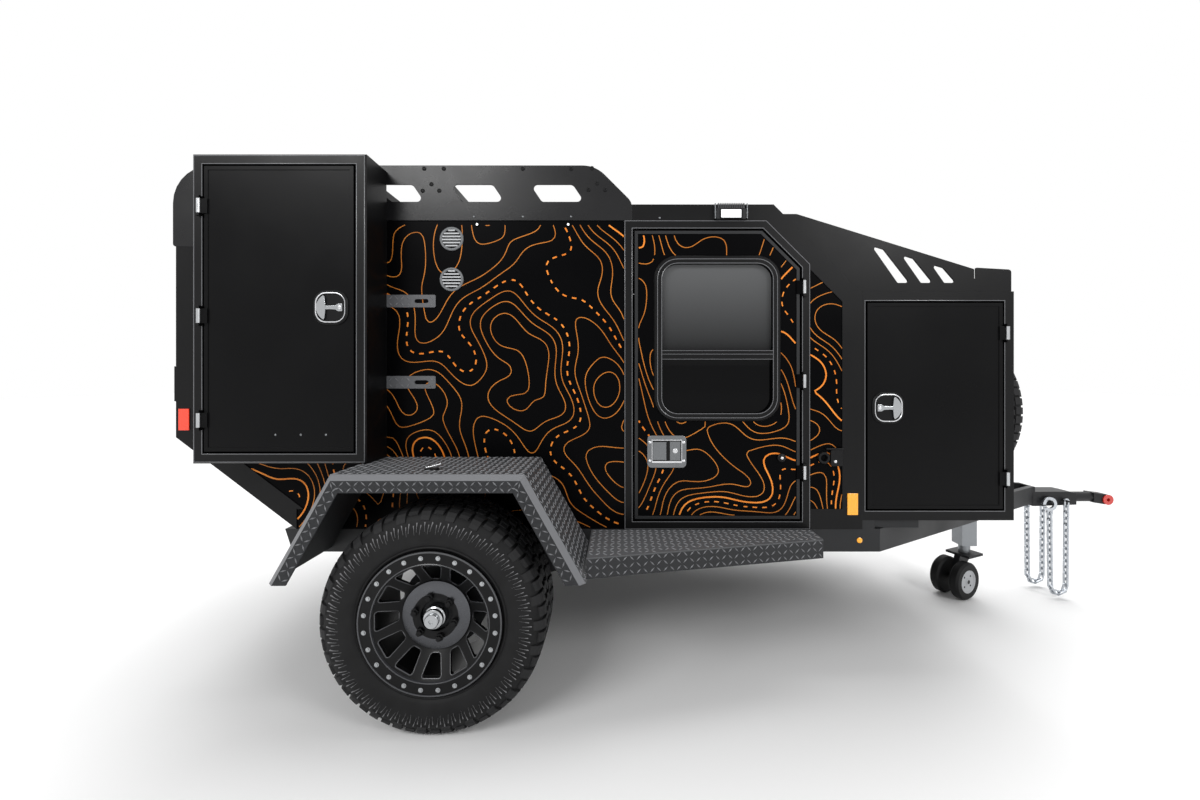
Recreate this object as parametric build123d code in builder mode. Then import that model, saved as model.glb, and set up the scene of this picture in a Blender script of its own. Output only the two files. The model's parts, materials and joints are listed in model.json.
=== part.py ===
from build123d import *
import os
from math import atan2, cos, degrees, hypot, radians, sin, tan

# Off-road squaredrop camper trailer, parked on its jack. Millimetres.
# +X points to the coupler, +Y to the trailer's left, +Z up, and Z = 0 is the ground.
# The origin is on the ground, midway between the rack's rear end and the coupler's tip.

# Body shell
body_half = 762.0
wall_t = 40.0
floor_z = 601.0
roof_z = 1895.0
rear_x = -2245.0
tail_run = 481.0
tail_rise = 366.0
front_x = 491.0
slope_run = 354.0
trim_t = 3.0
trim_w = 80.0
tail_x = rear_x + tail_run
tail_z = floor_z + tail_rise
roof_front_x = front_x - slope_run
slope_z = roof_z - slope_run

# Clearances round the moving leaves
leaf_gap = 8.0
hinge_r = 7.0
hinge_plate_t = 3.0
hinge_l = 54.0
hinge_lift = 1.0
lug_h = 9.0
lug_clear = 0.5
strap_l = 14.0
leaf_bead_w = 14.0
leaf_bead_t = 2.0

# Wheels and suspension
tyre_r = 385.0
tyre_w = 268.0
rim_r = 216.0
rim_lip_r = 241.0
wheel_clear = 52.0
axle_run = 654.0
lug_depth = 61.0
spindle_r = 20.0
spindle_clear = 0.6
wheel_y = body_half + wheel_clear + tyre_w / 2
axle_x = tail_x + axle_run

# Fenders and steps
fender_clear = 118.0
fender_over = 28.0
fender_half_top = 320.0
fender_half_foot = 522.0
fender_foot_rise = 143.0
fender_sheet = 5.0
fender_bevel = 18.0
fender_lip = 58.0
step_depth_rear = 294.0
step_depth_front = 113.0
step_end = 203.0
step_drop = 3.0
step_h = 70.0
fender_top = 2 * tyre_r + fender_clear
fender_foot_z = tyre_r + fender_foot_rise
fender_depth = wheel_clear + tyre_w + fender_over
step_x1 = front_x - step_end

# Cabin doors
door_front = 250.0
door_w = 658.0
door_head = 105.0
door_cut = 150.0
door_frame_w = 32.0
door_proud = 3.0
frame_proud = 6.0
door_hinge_share = (0.163, 0.479, 0.803)
window_margin = 76.0
window_head = 99.0
window_h = 661.0
window_r = 95.0
window_rim = 33.0
window_rail_rise = 265.0
window_rail_h = 38.0
window_proud = 8.0
window_bevel = 5.0
glass_t = 6.0
glass_inset = 15.0
door_x1 = front_x - door_front
door_x0 = door_x1 - door_w
door_top = roof_z - door_head
door_z0 = floor_z + door_frame_w + leaf_gap
door_hinge_z = [door_z0 + share * (door_top - door_z0) for share in door_hinge_share]
window_x0 = door_x0 + window_margin
window_x1 = door_x1 - window_margin
window_z1 = door_top - window_head
window_z0 = window_z1 - window_h
window_rail_z = window_z0 + window_rail_rise

# Rear hatch
sill_h = 30.0
hatch_hinge_r = 5.0

# Side boxes, which stand over the fenders
side_box_inset = 203.0
side_box_l = 637.0
side_box_gap = 2.0
side_box_rise = 130.0
side_box_depth = 155.0
side_box_frame = 37.0
side_box_hinge_share = (0.141, 0.477, 0.831)
side_latch_inset = 128.0
side_latch_share = 0.504
side_box_x0 = rear_x + side_box_inset
side_box_x1 = side_box_x0 + side_box_l
side_box_z0 = fender_top + side_box_gap
side_box_z1 = roof_z + side_box_rise
side_box_h = side_box_z1 - side_box_z0
side_box_hinge_z = [side_box_z0 + share * side_box_h for share in side_box_hinge_share]
side_box_latch = (side_box_x1 - side_latch_inset, side_box_z0 + side_latch_share * side_box_h)

# Front box
front_box_l = 606.0
front_box_lift = 34.0
front_box_rise = 8.0
front_box_frame = 38.0
front_box_rear_frame = 13.0
front_hinge_inset = 167.0
front_latch_inset = 103.0
front_latch_share = 0.491
front_box_x1 = front_x + front_box_l
front_box_z0 = floor_z + front_box_lift
front_box_z1 = slope_z + front_box_rise
front_box_hinge_z = (front_box_z0 + front_hinge_inset, front_box_z1 - front_hinge_inset)
front_latch_z = front_box_z0 + front_latch_share * (front_box_z1 - front_box_z0)
front_box_latch = (front_x + front_latch_inset, front_latch_z)

box_sheet = 6.0
box_leaf_t = 25.0
box_edge = 4.0
latch_w = 128.0
latch_corner = 48.0
latch_rim = 14.0
latch_t = 7.0
latch_floor = 2.0
latch_bar_w = 20.0
latch_bar_l = 84.0
latch_stem_h = 18.0

# Chassis and drawbar
rail_h = 91.0
rail_w = 50.0
rail_tail = 48.0
rail_nose = 71.0
drawbar_reach = 696.0
tongue_half = 55.0
tongue_drop = 106.0
tongue_h = 79.0
tongue_l = 239.0
coupler_reach = 196.0
coupler_rise = 29.0
coupler_eye_r = 28.0
coupler_bore_r = 9.0
coupler_half = 30.0
rail_x0 = tail_x - rail_tail
rail_x1 = front_x + rail_nose
rail_z = floor_z - rail_h
drawbar_x1 = front_box_x1 + drawbar_reach
tongue_x1 = drawbar_x1 + tongue_l
tongue_z0 = floor_z - tongue_drop
coupler_eye_x = tongue_x1 + coupler_reach
coupler_eye_z = tongue_z0 + coupler_rise

# Spare wheel on the front box
spare_reach = 256.0
spare_drop = 57.0
spare_x = front_box_x1 + spare_reach
spare_z = (front_box_z0 + front_box_z1) / 2 - spare_drop

# Roof rack and front deck plates
rack_t = 4.0
rack_rise = 155.0
rack_lap = 64.0
rack_rear_lap = 168.0
rack_rear_over = 11.0
rack_rear_w = 84.0
rack_front_gap = 10.0
rack_shoulder = 146.0
rack_shoulder_r = 120.0
rack_nose_r = 40.0
rack_rear_r = 150.0
rack_slot_w = 215.0
rack_slot_h = 68.0
rack_slot_rise = 44.0
rack_slot_front = 297.5
rack_slot_end = 33.0
rack_slot_count = 5
rack_slot_lean = 46.0
rack_slot_r = 15.0
deck_t = 6.0
rack_top = roof_z + rack_rise
rack_bottom = roof_z - rack_lap
rack_rear_drop = roof_z - rack_rear_lap
rack_rear_x = rear_x - rack_rear_over
rack_front_x = door_x0 - rack_front_gap
rack_shoulder_x = rack_front_x - rack_shoulder
rack_slot_x = rack_front_x - rack_slot_front
rack_slot_pitch = (rack_slot_x + rack_slot_w / 2 - rear_x - rack_slot_end) / rack_slot_count

# Jack with its twin castor
jack_reach = 358.0
jack_tube = 82.0
jack_rise = 27.0
jack_tube_l = 358.0
jack_leg_r = 28.0
jack_leg_out = 44.0
castor_r = 100.0
castor_w = 50.0
castor_gap = 50.0
castor_trail = 90.0
castor_yaw = 24.0
jack_x = front_box_x1 + jack_reach
jack_top = floor_z + jack_rise
jack_bottom = jack_top - jack_tube_l
jack_leg_bottom = jack_bottom - jack_leg_out

# Safety chains
chain_wire = 8.0
chain_inner_l = 34.0
chain_inner_w = 12.0
chain_slack = 0.5
chain_pin_r = 5.0
chain_pin_l = 34.0
chain_anchor_inset = 72.0
chain_spread = 92.0
chain_pin_rise = 33.0
chain_low_z = 26.0
chain_draw = 4.0
chain_bend_r = 40.0
hook_r = 38.0
hook_mouth_r = 22.0
hook_t = 10.0
hook_eye_r = 16.0
hook_hole_r = 7.0
chain_y = tongue_half + chain_pin_l / 2
chain_anchor = (tongue_x1 - chain_anchor_inset, tongue_z0 + chain_pin_rise)
hook_pin = (chain_anchor[0] - chain_spread, chain_anchor[1])
chain_low_x = (chain_anchor[0] - chain_draw, hook_pin[0] + chain_draw)

os.makedirs("parts", exist_ok=True)
SIDES = (("right", -1), ("left", 1))


# Vertical plane along X whose sketches read as (X, Z). Extruding it goes towards -Y,
# so a slab between two distances from the centreline starts at its higher Y.
def slab_plane(sign, near, far):
    return Plane((0, -near if sign < 0 else far, 0), x_dir=(1, 0, 0), z_dir=(0, -1, 0))


# Inset of a convex outline given anticlockwise, with mitred corners.
def inset(points, distance):
    result = []
    count = len(points)
    for i in range(count):
        (ax, az), (bx, bz), (cx, cz) = points[i - 1], points[i], points[(i + 1) % count]
        d1, d2 = hypot(bx - ax, bz - az), hypot(cx - bx, cz - bz)
        n1 = ((az - bz) / d1, (bx - ax) / d1)
        n2 = ((bz - cz) / d2, (cx - bx) / d2)
        scale = distance / (1 + n1[0] * n2[0] + n1[1] * n2[1])
        result.append((bx + scale * (n1[0] + n2[0]), bz + scale * (n1[1] + n2[1])))
    return result


def write(builder, name):
    builder.part.label = name
    export_step(builder.part, f"parts/{name}.step")


# Body outline seen from the side, anticlockwise from the foot of the departure slope
body_outline = [
    (tail_x, floor_z),
    (front_x, floor_z),
    (front_x, slope_z),
    (roof_front_x, roof_z),
    (rear_x, roof_z),
    (rear_x, tail_z),
]
body_inner = inset(body_outline, wall_t)
inner_half = body_half - wall_t


def door_outline(grow):
    x0, x1 = door_x0 - grow, door_x1 + grow
    z0, z1 = door_z0 - grow, door_top + grow
    cut = door_cut + grow * (2 - 2 ** 0.5)
    return [(x0, z0), (x1, z0), (x1, z1 - cut), (x1 - cut, z1), (x0, z1)]


door_frame_grow = leaf_gap + door_frame_w
door_leaf_out = body_half + door_proud
window_centre = ((window_x0 + window_x1) / 2, (window_z0 + window_z1) / 2)
window_size = (window_x1 - window_x0, window_z1 - window_z0)


# Chassis rails, cut back at the rear along the departure slope
rail_cut = rail_h * (tail_x - rear_x) / (tail_z - floor_z) / 4
with BuildPart() as chassis_rails:
    for _, sign in SIDES:
        with BuildSketch(slab_plane(sign, body_half - rail_w, body_half)):
            Polygon(
                (rail_x0, floor_z), (rail_x0 + rail_cut, rail_z),
                (rail_x1, rail_z), (rail_x1, floor_z), align=None,
            )
        extrude(amount=rail_w)
write(chassis_rails, "chassis_rails")

# Distance of a drawbar arm's outer face from the centreline
arm_slope = (body_half - tongue_half) / (drawbar_x1 - rail_x1)
arm_w = rail_w * hypot(1, arm_slope)


def arm_outer_y(x):
    return body_half - (x - rail_x1) * arm_slope


# Crossmembers between the rails, flush with their tops, and the bearers of the front box
crossmember_w = 50.0
crossmember_h = 60.0
crossmember_count = 5
crossmember_end = 60.0
crossmember_pitch = (rail_x1 - rail_x0 - 2 * crossmember_end) / (crossmember_count - 1)
bearer_w = 50.0
bearer_inset = 55.0
with BuildPart() as crossmembers:
    with Locations(((rail_x0 + rail_x1) / 2, 0, floor_z - crossmember_h / 2)):
        with GridLocations(crossmember_pitch, 1, crossmember_count, 1):
            Box(crossmember_w, 2 * (body_half - rail_w), crossmember_h)
    for x in (front_x + bearer_w / 2, front_box_x1 - bearer_inset):
        with Locations((x, 0, (floor_z + front_box_z0) / 2)):
            Box(bearer_w, 2 * arm_outer_y(max(x, rail_x1)), front_box_z0 - floor_z)
write(crossmembers, "chassis_crossmembers")

# Drawbar arms run in from the rails to the tongue
with BuildPart() as drawbar_arms:
    for _, sign in SIDES:
        with BuildSketch(Plane.XY.offset(rail_z)):
            Polygon(
                (rail_x1, sign * body_half), (drawbar_x1, sign * arm_outer_y(drawbar_x1)),
                (drawbar_x1, sign * (arm_outer_y(drawbar_x1) - arm_w + rail_w * arm_slope)),
                (rail_x1, sign * (body_half - arm_w)), align=None,
            )
        extrude(amount=rail_h)
write(drawbar_arms, "drawbar_arms")

# Deck plate on the arms that carries the jack
jack_plate_t = 12.0
jack_plate_half_x = 110.0
with BuildPart() as jack_plate:
    plate_x0, plate_x1 = jack_x - jack_plate_half_x, jack_x + jack_plate_half_x
    with BuildSketch(Plane.XY.offset(floor_z)):
        Polygon(
            (plate_x0, -arm_outer_y(plate_x0)), (plate_x1, -arm_outer_y(plate_x1)),
            (plate_x1, arm_outer_y(plate_x1)), (plate_x0, arm_outer_y(plate_x0)), align=None,
        )
        with Locations((jack_x, 0)):
            Rectangle(jack_tube, jack_tube, mode=Mode.SUBTRACT)
    extrude(amount=jack_plate_t)
write(jack_plate, "jack_plate")

# Tongue tube with the gusset that closes the arms, and a tapered nose
gusset_t = 12.0
nose_l = 40.0
nose_drop = 8.0
with BuildPart() as tongue:
    with BuildSketch(slab_plane(1, -tongue_half, tongue_half)):
        Polygon(
            (drawbar_x1 + gusset_t, tongue_z0), (tongue_x1, tongue_z0 + nose_drop),
            (tongue_x1, tongue_z0 + tongue_h - nose_drop),
            (tongue_x1 - nose_l, tongue_z0 + tongue_h),
            (drawbar_x1 + gusset_t, tongue_z0 + tongue_h), align=None,
        )
    extrude(amount=2 * tongue_half)
    with Locations((drawbar_x1 + gusset_t / 2, 0, (tongue_z0 + floor_z) / 2)):
        Box(gusset_t, 2 * tongue_half, floor_z - tongue_z0)
    for _, sign in SIDES:
        with BuildSketch(slab_plane(sign, tongue_half, tongue_half + chain_pin_l)):
            with Locations(chain_anchor, hook_pin):
                Circle(chain_pin_r)
        extrude(amount=chain_pin_l)
write(tongue, "tongue")

# Articulating coupler: round shank, and a yoke that holds the bushing's eye
shank_r = 27.0
yoke_l = 75.0
yoke_x0 = coupler_eye_x - yoke_l
shank_z = tongue_z0 + tongue_h / 2
with BuildPart() as coupler:
    with BuildSketch(Plane((tongue_x1, 0, shank_z), z_dir=(1, 0, 0))):
        Circle(shank_r)
    extrude(amount=yoke_x0 - tongue_x1)
    with BuildSketch(slab_plane(1, -coupler_half, coupler_half)):
        with BuildLine():
            lower = Line((yoke_x0, shank_z - shank_r), (coupler_eye_x, coupler_eye_z - coupler_eye_r))
            CenterArc((coupler_eye_x, coupler_eye_z), coupler_eye_r, -90, 180)
            upper = (coupler_eye_x, coupler_eye_z + coupler_eye_r)
            Polyline(upper, (yoke_x0, shank_z + shank_r), lower @ 0)
        make_face()
    extrude(amount=2 * coupler_half)
    with BuildSketch(slab_plane(1, -coupler_half, coupler_half)):
        with Locations((coupler_eye_x, coupler_eye_z)):
            Circle(0.75 * coupler_eye_r)
    extrude(amount=2 * coupler_half, mode=Mode.SUBTRACT)
write(coupler, "coupler")

# Polyurethane bushing in the eye, bored for the cross pin
bushing_flange_t = 6.0
with BuildPart() as bushing:
    with BuildSketch(slab_plane(1, -coupler_half, coupler_half)):
        with Locations((coupler_eye_x, coupler_eye_z)):
            Circle(0.75 * coupler_eye_r)
    extrude(amount=2 * coupler_half)
    for sign in (-1, 1):
        with BuildSketch(slab_plane(sign, coupler_half, coupler_half + bushing_flange_t)):
            with Locations((coupler_eye_x, coupler_eye_z)):
                Circle(coupler_eye_r)
        extrude(amount=bushing_flange_t)
    bushing_half = coupler_half + bushing_flange_t
    with BuildSketch(slab_plane(1, -bushing_half, bushing_half)):
        with Locations((coupler_eye_x, coupler_eye_z)):
            Circle(coupler_bore_r)
    extrude(amount=2 * bushing_half, mode=Mode.SUBTRACT)
write(bushing, "coupler_bushing")

# Trailing arms with their hangers and stub axles, one under each rail
hanger_l = 250.0
hanger_run = 220.0
hanger_x0 = axle_x + hanger_run
arm_eye_r = 52.0
lug_y = wheel_y + lug_depth
disc_t = 9.0
hub_face_y = lug_y - disc_t
spindle_end_y = hub_face_y - 15.0
with BuildPart() as trailing_arms:
    for _, sign in SIDES:
        with BuildSketch(slab_plane(sign, body_half - rail_w, body_half)):
            Polygon(
                (hanger_x0 + hanger_l, rail_z), (hanger_x0, rail_z),
                (axle_x, tyre_r + arm_eye_r), (axle_x, tyre_r - arm_eye_r),
                (hanger_x0 + hanger_l, rail_z - arm_eye_r), align=None,
            )
            with Locations((axle_x, tyre_r)):
                Circle(arm_eye_r)
        extrude(amount=rail_w)
        with BuildSketch(slab_plane(sign, body_half, spindle_end_y)):
            with Locations((axle_x, tyre_r)):
                Circle(spindle_r)
        extrude(amount=spindle_end_y - body_half)
write(trailing_arms, "trailing_arms")


# Wheel sections in a plane with x = radius and y = distance outward from the wheel's centre
def wheel_section(plane, points):
    with BuildSketch(plane) as section:
        Polygon(*points, align=None)
    return section.sketch


lip_inset = 8.0
lip_t = 14.0
bead_clear = 1.0
tyre_half = tyre_w / 2
lip_y = tyre_half - lip_inset
bead_y = lip_y - lip_t - bead_clear
wall_r = tyre_r - rim_lip_r
bulge = 0.06 * tyre_half
tyre_points = [
    (rim_r, bead_y), (rim_lip_r + 2 * bead_clear, bead_y), (rim_lip_r + 0.15 * wall_r, tyre_half - bulge),
    (rim_lip_r + 0.42 * wall_r, tyre_half), (rim_lip_r + 0.71 * wall_r, tyre_half - bulge / 2),
    (rim_lip_r + 0.92 * wall_r, 0.85 * tyre_half), (tyre_r, 0.73 * tyre_half),
]
tyre_points += [(r, -y) for r, y in reversed(tyre_points)]

barrel_t = 9.0
bore_r = 52.0
dish_r = 116.0
ring_r = 200.0
ring_t = 8.0
rim_points = [
    (rim_lip_r, lip_y), (rim_lip_r, lip_y - lip_t), (rim_r, bead_y), (rim_r, -bead_y),
    (rim_lip_r, lip_t - lip_y), (rim_lip_r, -lip_y), (rim_r, -lip_y), (rim_r - barrel_t, -bead_y),
    (rim_r - barrel_t, lip_y - ring_t - 3 * disc_t), (ring_r - disc_t / 2, lip_y - ring_t - 2 * disc_t),
    (dish_r + disc_t / 2, lug_depth - disc_t), (bore_r, lug_depth - disc_t), (bore_r, lug_depth),
    (dish_r, lug_depth), (ring_r, lip_y - ring_t), (ring_r, lip_y),
]
spoke_count = 12
spoke_r0 = 128.0
spoke_r1 = 189.0
spoke_window_r = 7.0
window_inner_half = 16.0
window_outer_half = 34.0

# Each wheel: name, centre, direction of its outer face, direction its section starts from
wheel_table = [
    (side, Vector(axle_x, sign * wheel_y, tyre_r), Vector(0, sign, 0)) for side, sign in SIDES
] + [("spare", Vector(spare_x, 0, spare_z), Vector(1, 0, 0))]

for name, centre, outward in wheel_table:
    radial = Vector(0, 0, 1)
    section_plane = Plane(centre, x_dir=radial, z_dir=radial.cross(outward))
    axis = Axis(centre, outward)
    with BuildPart() as tyre:
        revolve(wheel_section(section_plane, tyre_points), axis=axis)
    write(tyre, f"{name}_tyre")
    with BuildPart() as rim:
        revolve(wheel_section(section_plane, rim_points), axis=axis)
        with BuildSketch(Plane(centre, x_dir=radial, z_dir=outward)) as spoke_windows:
            with PolarLocations(0, spoke_count):
                Polygon(
                    (spoke_r0, -window_inner_half), (spoke_r1, -window_outer_half),
                    (spoke_r1, window_outer_half), (spoke_r0, window_inner_half), align=None,
                )
            chamfer(spoke_windows.vertices(), spoke_window_r)
        extrude(amount=tyre_half, mode=Mode.SUBTRACT)
    write(rim, f"{name}_rim")

# Hub and brake drum on each stub axle, with the cap that shows in the rim's bore
drum_r = 150.0
drum_gap = 84.0
drum_w = 90.0
drum_y0 = body_half + drum_gap
drum_y1 = drum_y0 + drum_w
hub_r = 60.0
flange_r = 95.0
flange_t = 14.0
cap_root_r = 39.0
cap_r = 33.0
cap_l = 26.0
for side, sign in SIDES:
    hub_axis = Axis((axle_x, 0, tyre_r), (0, 1, 0))
    hub_plane = Plane((axle_x, 0, tyre_r), x_dir=(0, 0, 1), z_dir=(-1, 0, 0))
    hub_bore = spindle_r + spindle_clear
    hub_points = [
        (hub_bore, drum_y0), (drum_r, drum_y0), (drum_r, drum_y1), (hub_r, drum_y1),
        (hub_r, hub_face_y - flange_t), (flange_r, hub_face_y - flange_t), (flange_r, hub_face_y),
        (cap_root_r, hub_face_y), (cap_r, lug_y + cap_l / 2), (cap_r, lug_y + cap_l), (0, lug_y + cap_l),
        (0, spindle_end_y + spindle_clear), (hub_bore, spindle_end_y + spindle_clear),
    ]
    with BuildPart() as hub:
        with BuildSketch(hub_plane):
            Polygon(*[(r, sign * y) for r, y in hub_points], align=None)
        revolve(axis=hub_axis)
    write(hub, f"{side}_hub")

# Spare carrier: post from the jack plate's front box wall to the spare's disc
carrier_w = 120.0
carrier_h = 420.0
carrier_t = 12.0
stub_r = 50.0
with BuildPart() as spare_carrier:
    with BuildSketch(Plane((front_box_x1, 0, spare_z), x_dir=(0, 1, 0), z_dir=(1, 0, 0))):
        Rectangle(carrier_w, carrier_h)
    extrude(amount=carrier_t)
    carrier_reach = spare_x + lug_depth - disc_t - front_box_x1
    with BuildSketch(Plane((front_box_x1, 0, spare_z), x_dir=(0, 1, 0), z_dir=(1, 0, 0))):
        Circle(stub_r)
    extrude(amount=carrier_reach)
    with BuildSketch(Plane((front_box_x1 + carrier_reach - flange_t, 0, spare_z), z_dir=(1, 0, 0))):
        Circle(flange_r)
    extrude(amount=flange_t)
write(spare_carrier, "spare_carrier")


# Side walls, each a full-thickness panel with its doorway open to the floor
for side, sign in SIDES:
    with BuildPart() as wall:
        with BuildSketch(slab_plane(sign, inner_half, body_half)):
            Polygon(*body_outline, align=None)
            Polygon(*door_outline(door_frame_grow), align=None, mode=Mode.SUBTRACT)
        extrude(amount=wall_t)
    write(wall, f"{side}_wall")

# Panels between the walls, mitred where they meet: name, first and last corner of the outline
hatch_x1 = rear_x + wall_t
hatch_z1 = roof_z - wall_t - leaf_gap
sill_z = tail_z + sill_h
panel_table = [
    ("floor_panel", [body_outline[0], body_outline[1], body_inner[1], body_inner[0]]),
    ("front_wall", [body_outline[1], body_outline[2], body_inner[2], body_inner[1]]),
    ("front_slope", [body_outline[2], body_outline[3], body_inner[3], body_inner[2]]),
    ("tail_panel", [body_outline[5], body_outline[0], body_inner[0], body_inner[5],
                    (hatch_x1, sill_z), (rear_x, sill_z)]),
]
for name, corners in panel_table:
    with BuildPart() as panel:
        with BuildSketch(slab_plane(1, -inner_half, inner_half)):
            Polygon(*corners, align=None)
        extrude(amount=2 * inner_half)
    write(panel, name)

# Roof panel, with the lugs of the hatch's hinges on its rear end
hatch_axis_x = rear_x - hinge_lift - hatch_hinge_r
hatch_axis_z = roof_z - wall_t + hatch_hinge_r
hatch_hinge_y = (-500.0, 0.0, 500.0)
hatch_hinge_l = 90.0
hatch_lug_d = rear_x - hatch_axis_x + hatch_hinge_r
with BuildPart() as roof_panel:
    with BuildSketch(slab_plane(1, -inner_half, inner_half)):
        Polygon(body_outline[3], body_outline[4], (rear_x, roof_z - wall_t), body_inner[3], align=None)
    extrude(amount=2 * inner_half)
    lug_reach = hatch_hinge_l / 2 + lug_clear + lug_h / 2
    lug_places = [y + end * lug_reach for y in hatch_hinge_y for end in (-1, 1)]
    with Locations(*[(rear_x - hatch_lug_d / 2, y, hatch_axis_z) for y in lug_places]):
        Box(hatch_lug_d, lug_h, 2 * hatch_hinge_r)
write(roof_panel, "roof_panel")

# Rear hatch, hung from the roof's rear end, with a grab rail across its foot
hatch_half = inner_half - leaf_gap
handle_rise = 70.0
handle_l = 300.0
handle_d = 8.0
with BuildPart() as rear_hatch:
    with BuildSketch(slab_plane(1, -hatch_half, hatch_half)):
        Polygon(
            (rear_x, sill_z + leaf_gap), (hatch_x1, sill_z + leaf_gap),
            (hatch_x1, hatch_z1), (rear_x, hatch_z1), align=None,
        )
    extrude(amount=2 * hatch_half)
    with Locations((rear_x - handle_d / 2, 0, sill_z + leaf_gap + handle_rise)):
        Box(handle_d, handle_l, 3 * handle_d)
    for y in hatch_hinge_y:
        with BuildSketch(slab_plane(1, y - hatch_hinge_l / 2, y + hatch_hinge_l / 2)):
            with Locations((hatch_axis_x, hatch_axis_z)):
                Circle(hatch_hinge_r)
            Polygon(
                (hatch_axis_x, hatch_axis_z), (rear_x - hinge_lift, hatch_axis_z),
                (rear_x - hinge_lift, hatch_z1), (rear_x, hatch_z1), (rear_x, hatch_z1 - strap_l),
                (hatch_axis_x, hatch_z1 - strap_l), align=None,
            )
        extrude(amount=hatch_hinge_l)
write(rear_hatch, "rear_hatch")

# Edge trims on the walls: a band inside the outline, left open under the rack's plates,
# behind the side boxes and at the doorway
trim_out = body_half + trim_t
with BuildPart() as edge_trims:
    for _, sign in SIDES:
        with BuildSketch(slab_plane(sign, body_half, trim_out)):
            Polygon(*body_outline, align=None)
            Polygon(*inset(body_outline, trim_w), align=None, mode=Mode.SUBTRACT)
            with Locations(((rear_x + rack_front_x) / 2, roof_z)):
                Rectangle(rack_front_x - rear_x, 2 * (roof_z - rack_rear_drop), mode=Mode.SUBTRACT)
            with Locations((side_box_x0 + side_box_l / 2, side_box_z0 + side_box_h / 2)):
                Rectangle(side_box_l, side_box_h, mode=Mode.SUBTRACT)
            sill_l = door_x1 + door_frame_grow - tail_x
            with Locations((tail_x + sill_l / 2, floor_z)):
                Rectangle(sill_l, 2 * trim_w, mode=Mode.SUBTRACT)
            Polygon(*door_outline(door_frame_grow), align=None, mode=Mode.SUBTRACT)
        extrude(amount=trim_t)
write(edge_trims, "edge_trims")

# Hinges stand on the face round a leaf. The moving half is a barrel on the axis and a strap
# down to the leaf; direction is +1 where the leaf lies at higher X than the axis.
def hinge_straps(sign, axis_x, face_y, leaf_x, leaf_y, direction, heights):
    axis_y = face_y + hinge_lift + hinge_r
    lift_y = face_y + hinge_lift
    strap_x = leaf_x + direction * strap_l
    for z in heights:
        with Locations((axis_x, sign * axis_y, z)):
            Cylinder(hinge_r, hinge_l)
        with BuildSketch(Plane.XY.offset(z - hinge_l / 2)) as strap:
            Polygon(
                (strap_x, sign * leaf_y), (leaf_x, sign * leaf_y), (leaf_x, sign * lift_y),
                (axis_x, sign * lift_y), (axis_x, sign * axis_y),
                (strap_x, sign * (leaf_y + hinge_plate_t)), align=None,
            )
        extrude(strap.sketch, amount=hinge_l)


# Fixed lugs above and below each barrel, standing on the face
def hinge_lugs(sign, axis_x, face_y, heights):
    lug_d = hinge_lift + 2 * hinge_r
    reach = hinge_l / 2 + lug_clear + lug_h / 2
    for z in heights:
        with Locations(*[(axis_x, sign * (face_y + lug_d / 2), z + end * reach) for end in (-1, 1)]):
            Box(2 * hinge_r, lug_d, lug_h)


# Door frames in the walls, with the lugs of the hinges
door_axis_x = door_x1 + leaf_gap + hinge_r
frame_out = body_half + frame_proud
with BuildPart() as door_frames:
    for _, sign in SIDES:
        with BuildSketch(slab_plane(sign, inner_half, frame_out)):
            Polygon(*door_outline(door_frame_grow), align=None)
            Polygon(*door_outline(leaf_gap), align=None, mode=Mode.SUBTRACT)
        extrude(amount=frame_out - inner_half)
        hinge_lugs(sign, door_axis_x, frame_out, door_hinge_z)
write(door_frames, "door_frames")


def corners_of(x0, z0, x1, z1):
    return [(x0, z0), (x1, z0), (x1, z1), (x0, z1)]


# Raised border round a leaf's outer face
def leaf_bead(sign, outline, leaf_y):
    with BuildSketch(slab_plane(sign, leaf_y, leaf_y + leaf_bead_t)) as bead:
        Polygon(*outline, align=None)
        Polygon(*inset(outline, leaf_bead_w), align=None, mode=Mode.SUBTRACT)
    extrude(bead.sketch, amount=leaf_bead_t)


def window_sketch(plane, shrink):
    with BuildSketch(plane) as sketch:
        with Locations(window_centre):
            RectangleRounded(window_size[0] - 2 * shrink, window_size[1] - 2 * shrink, window_r - shrink)
    return sketch.sketch


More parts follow.
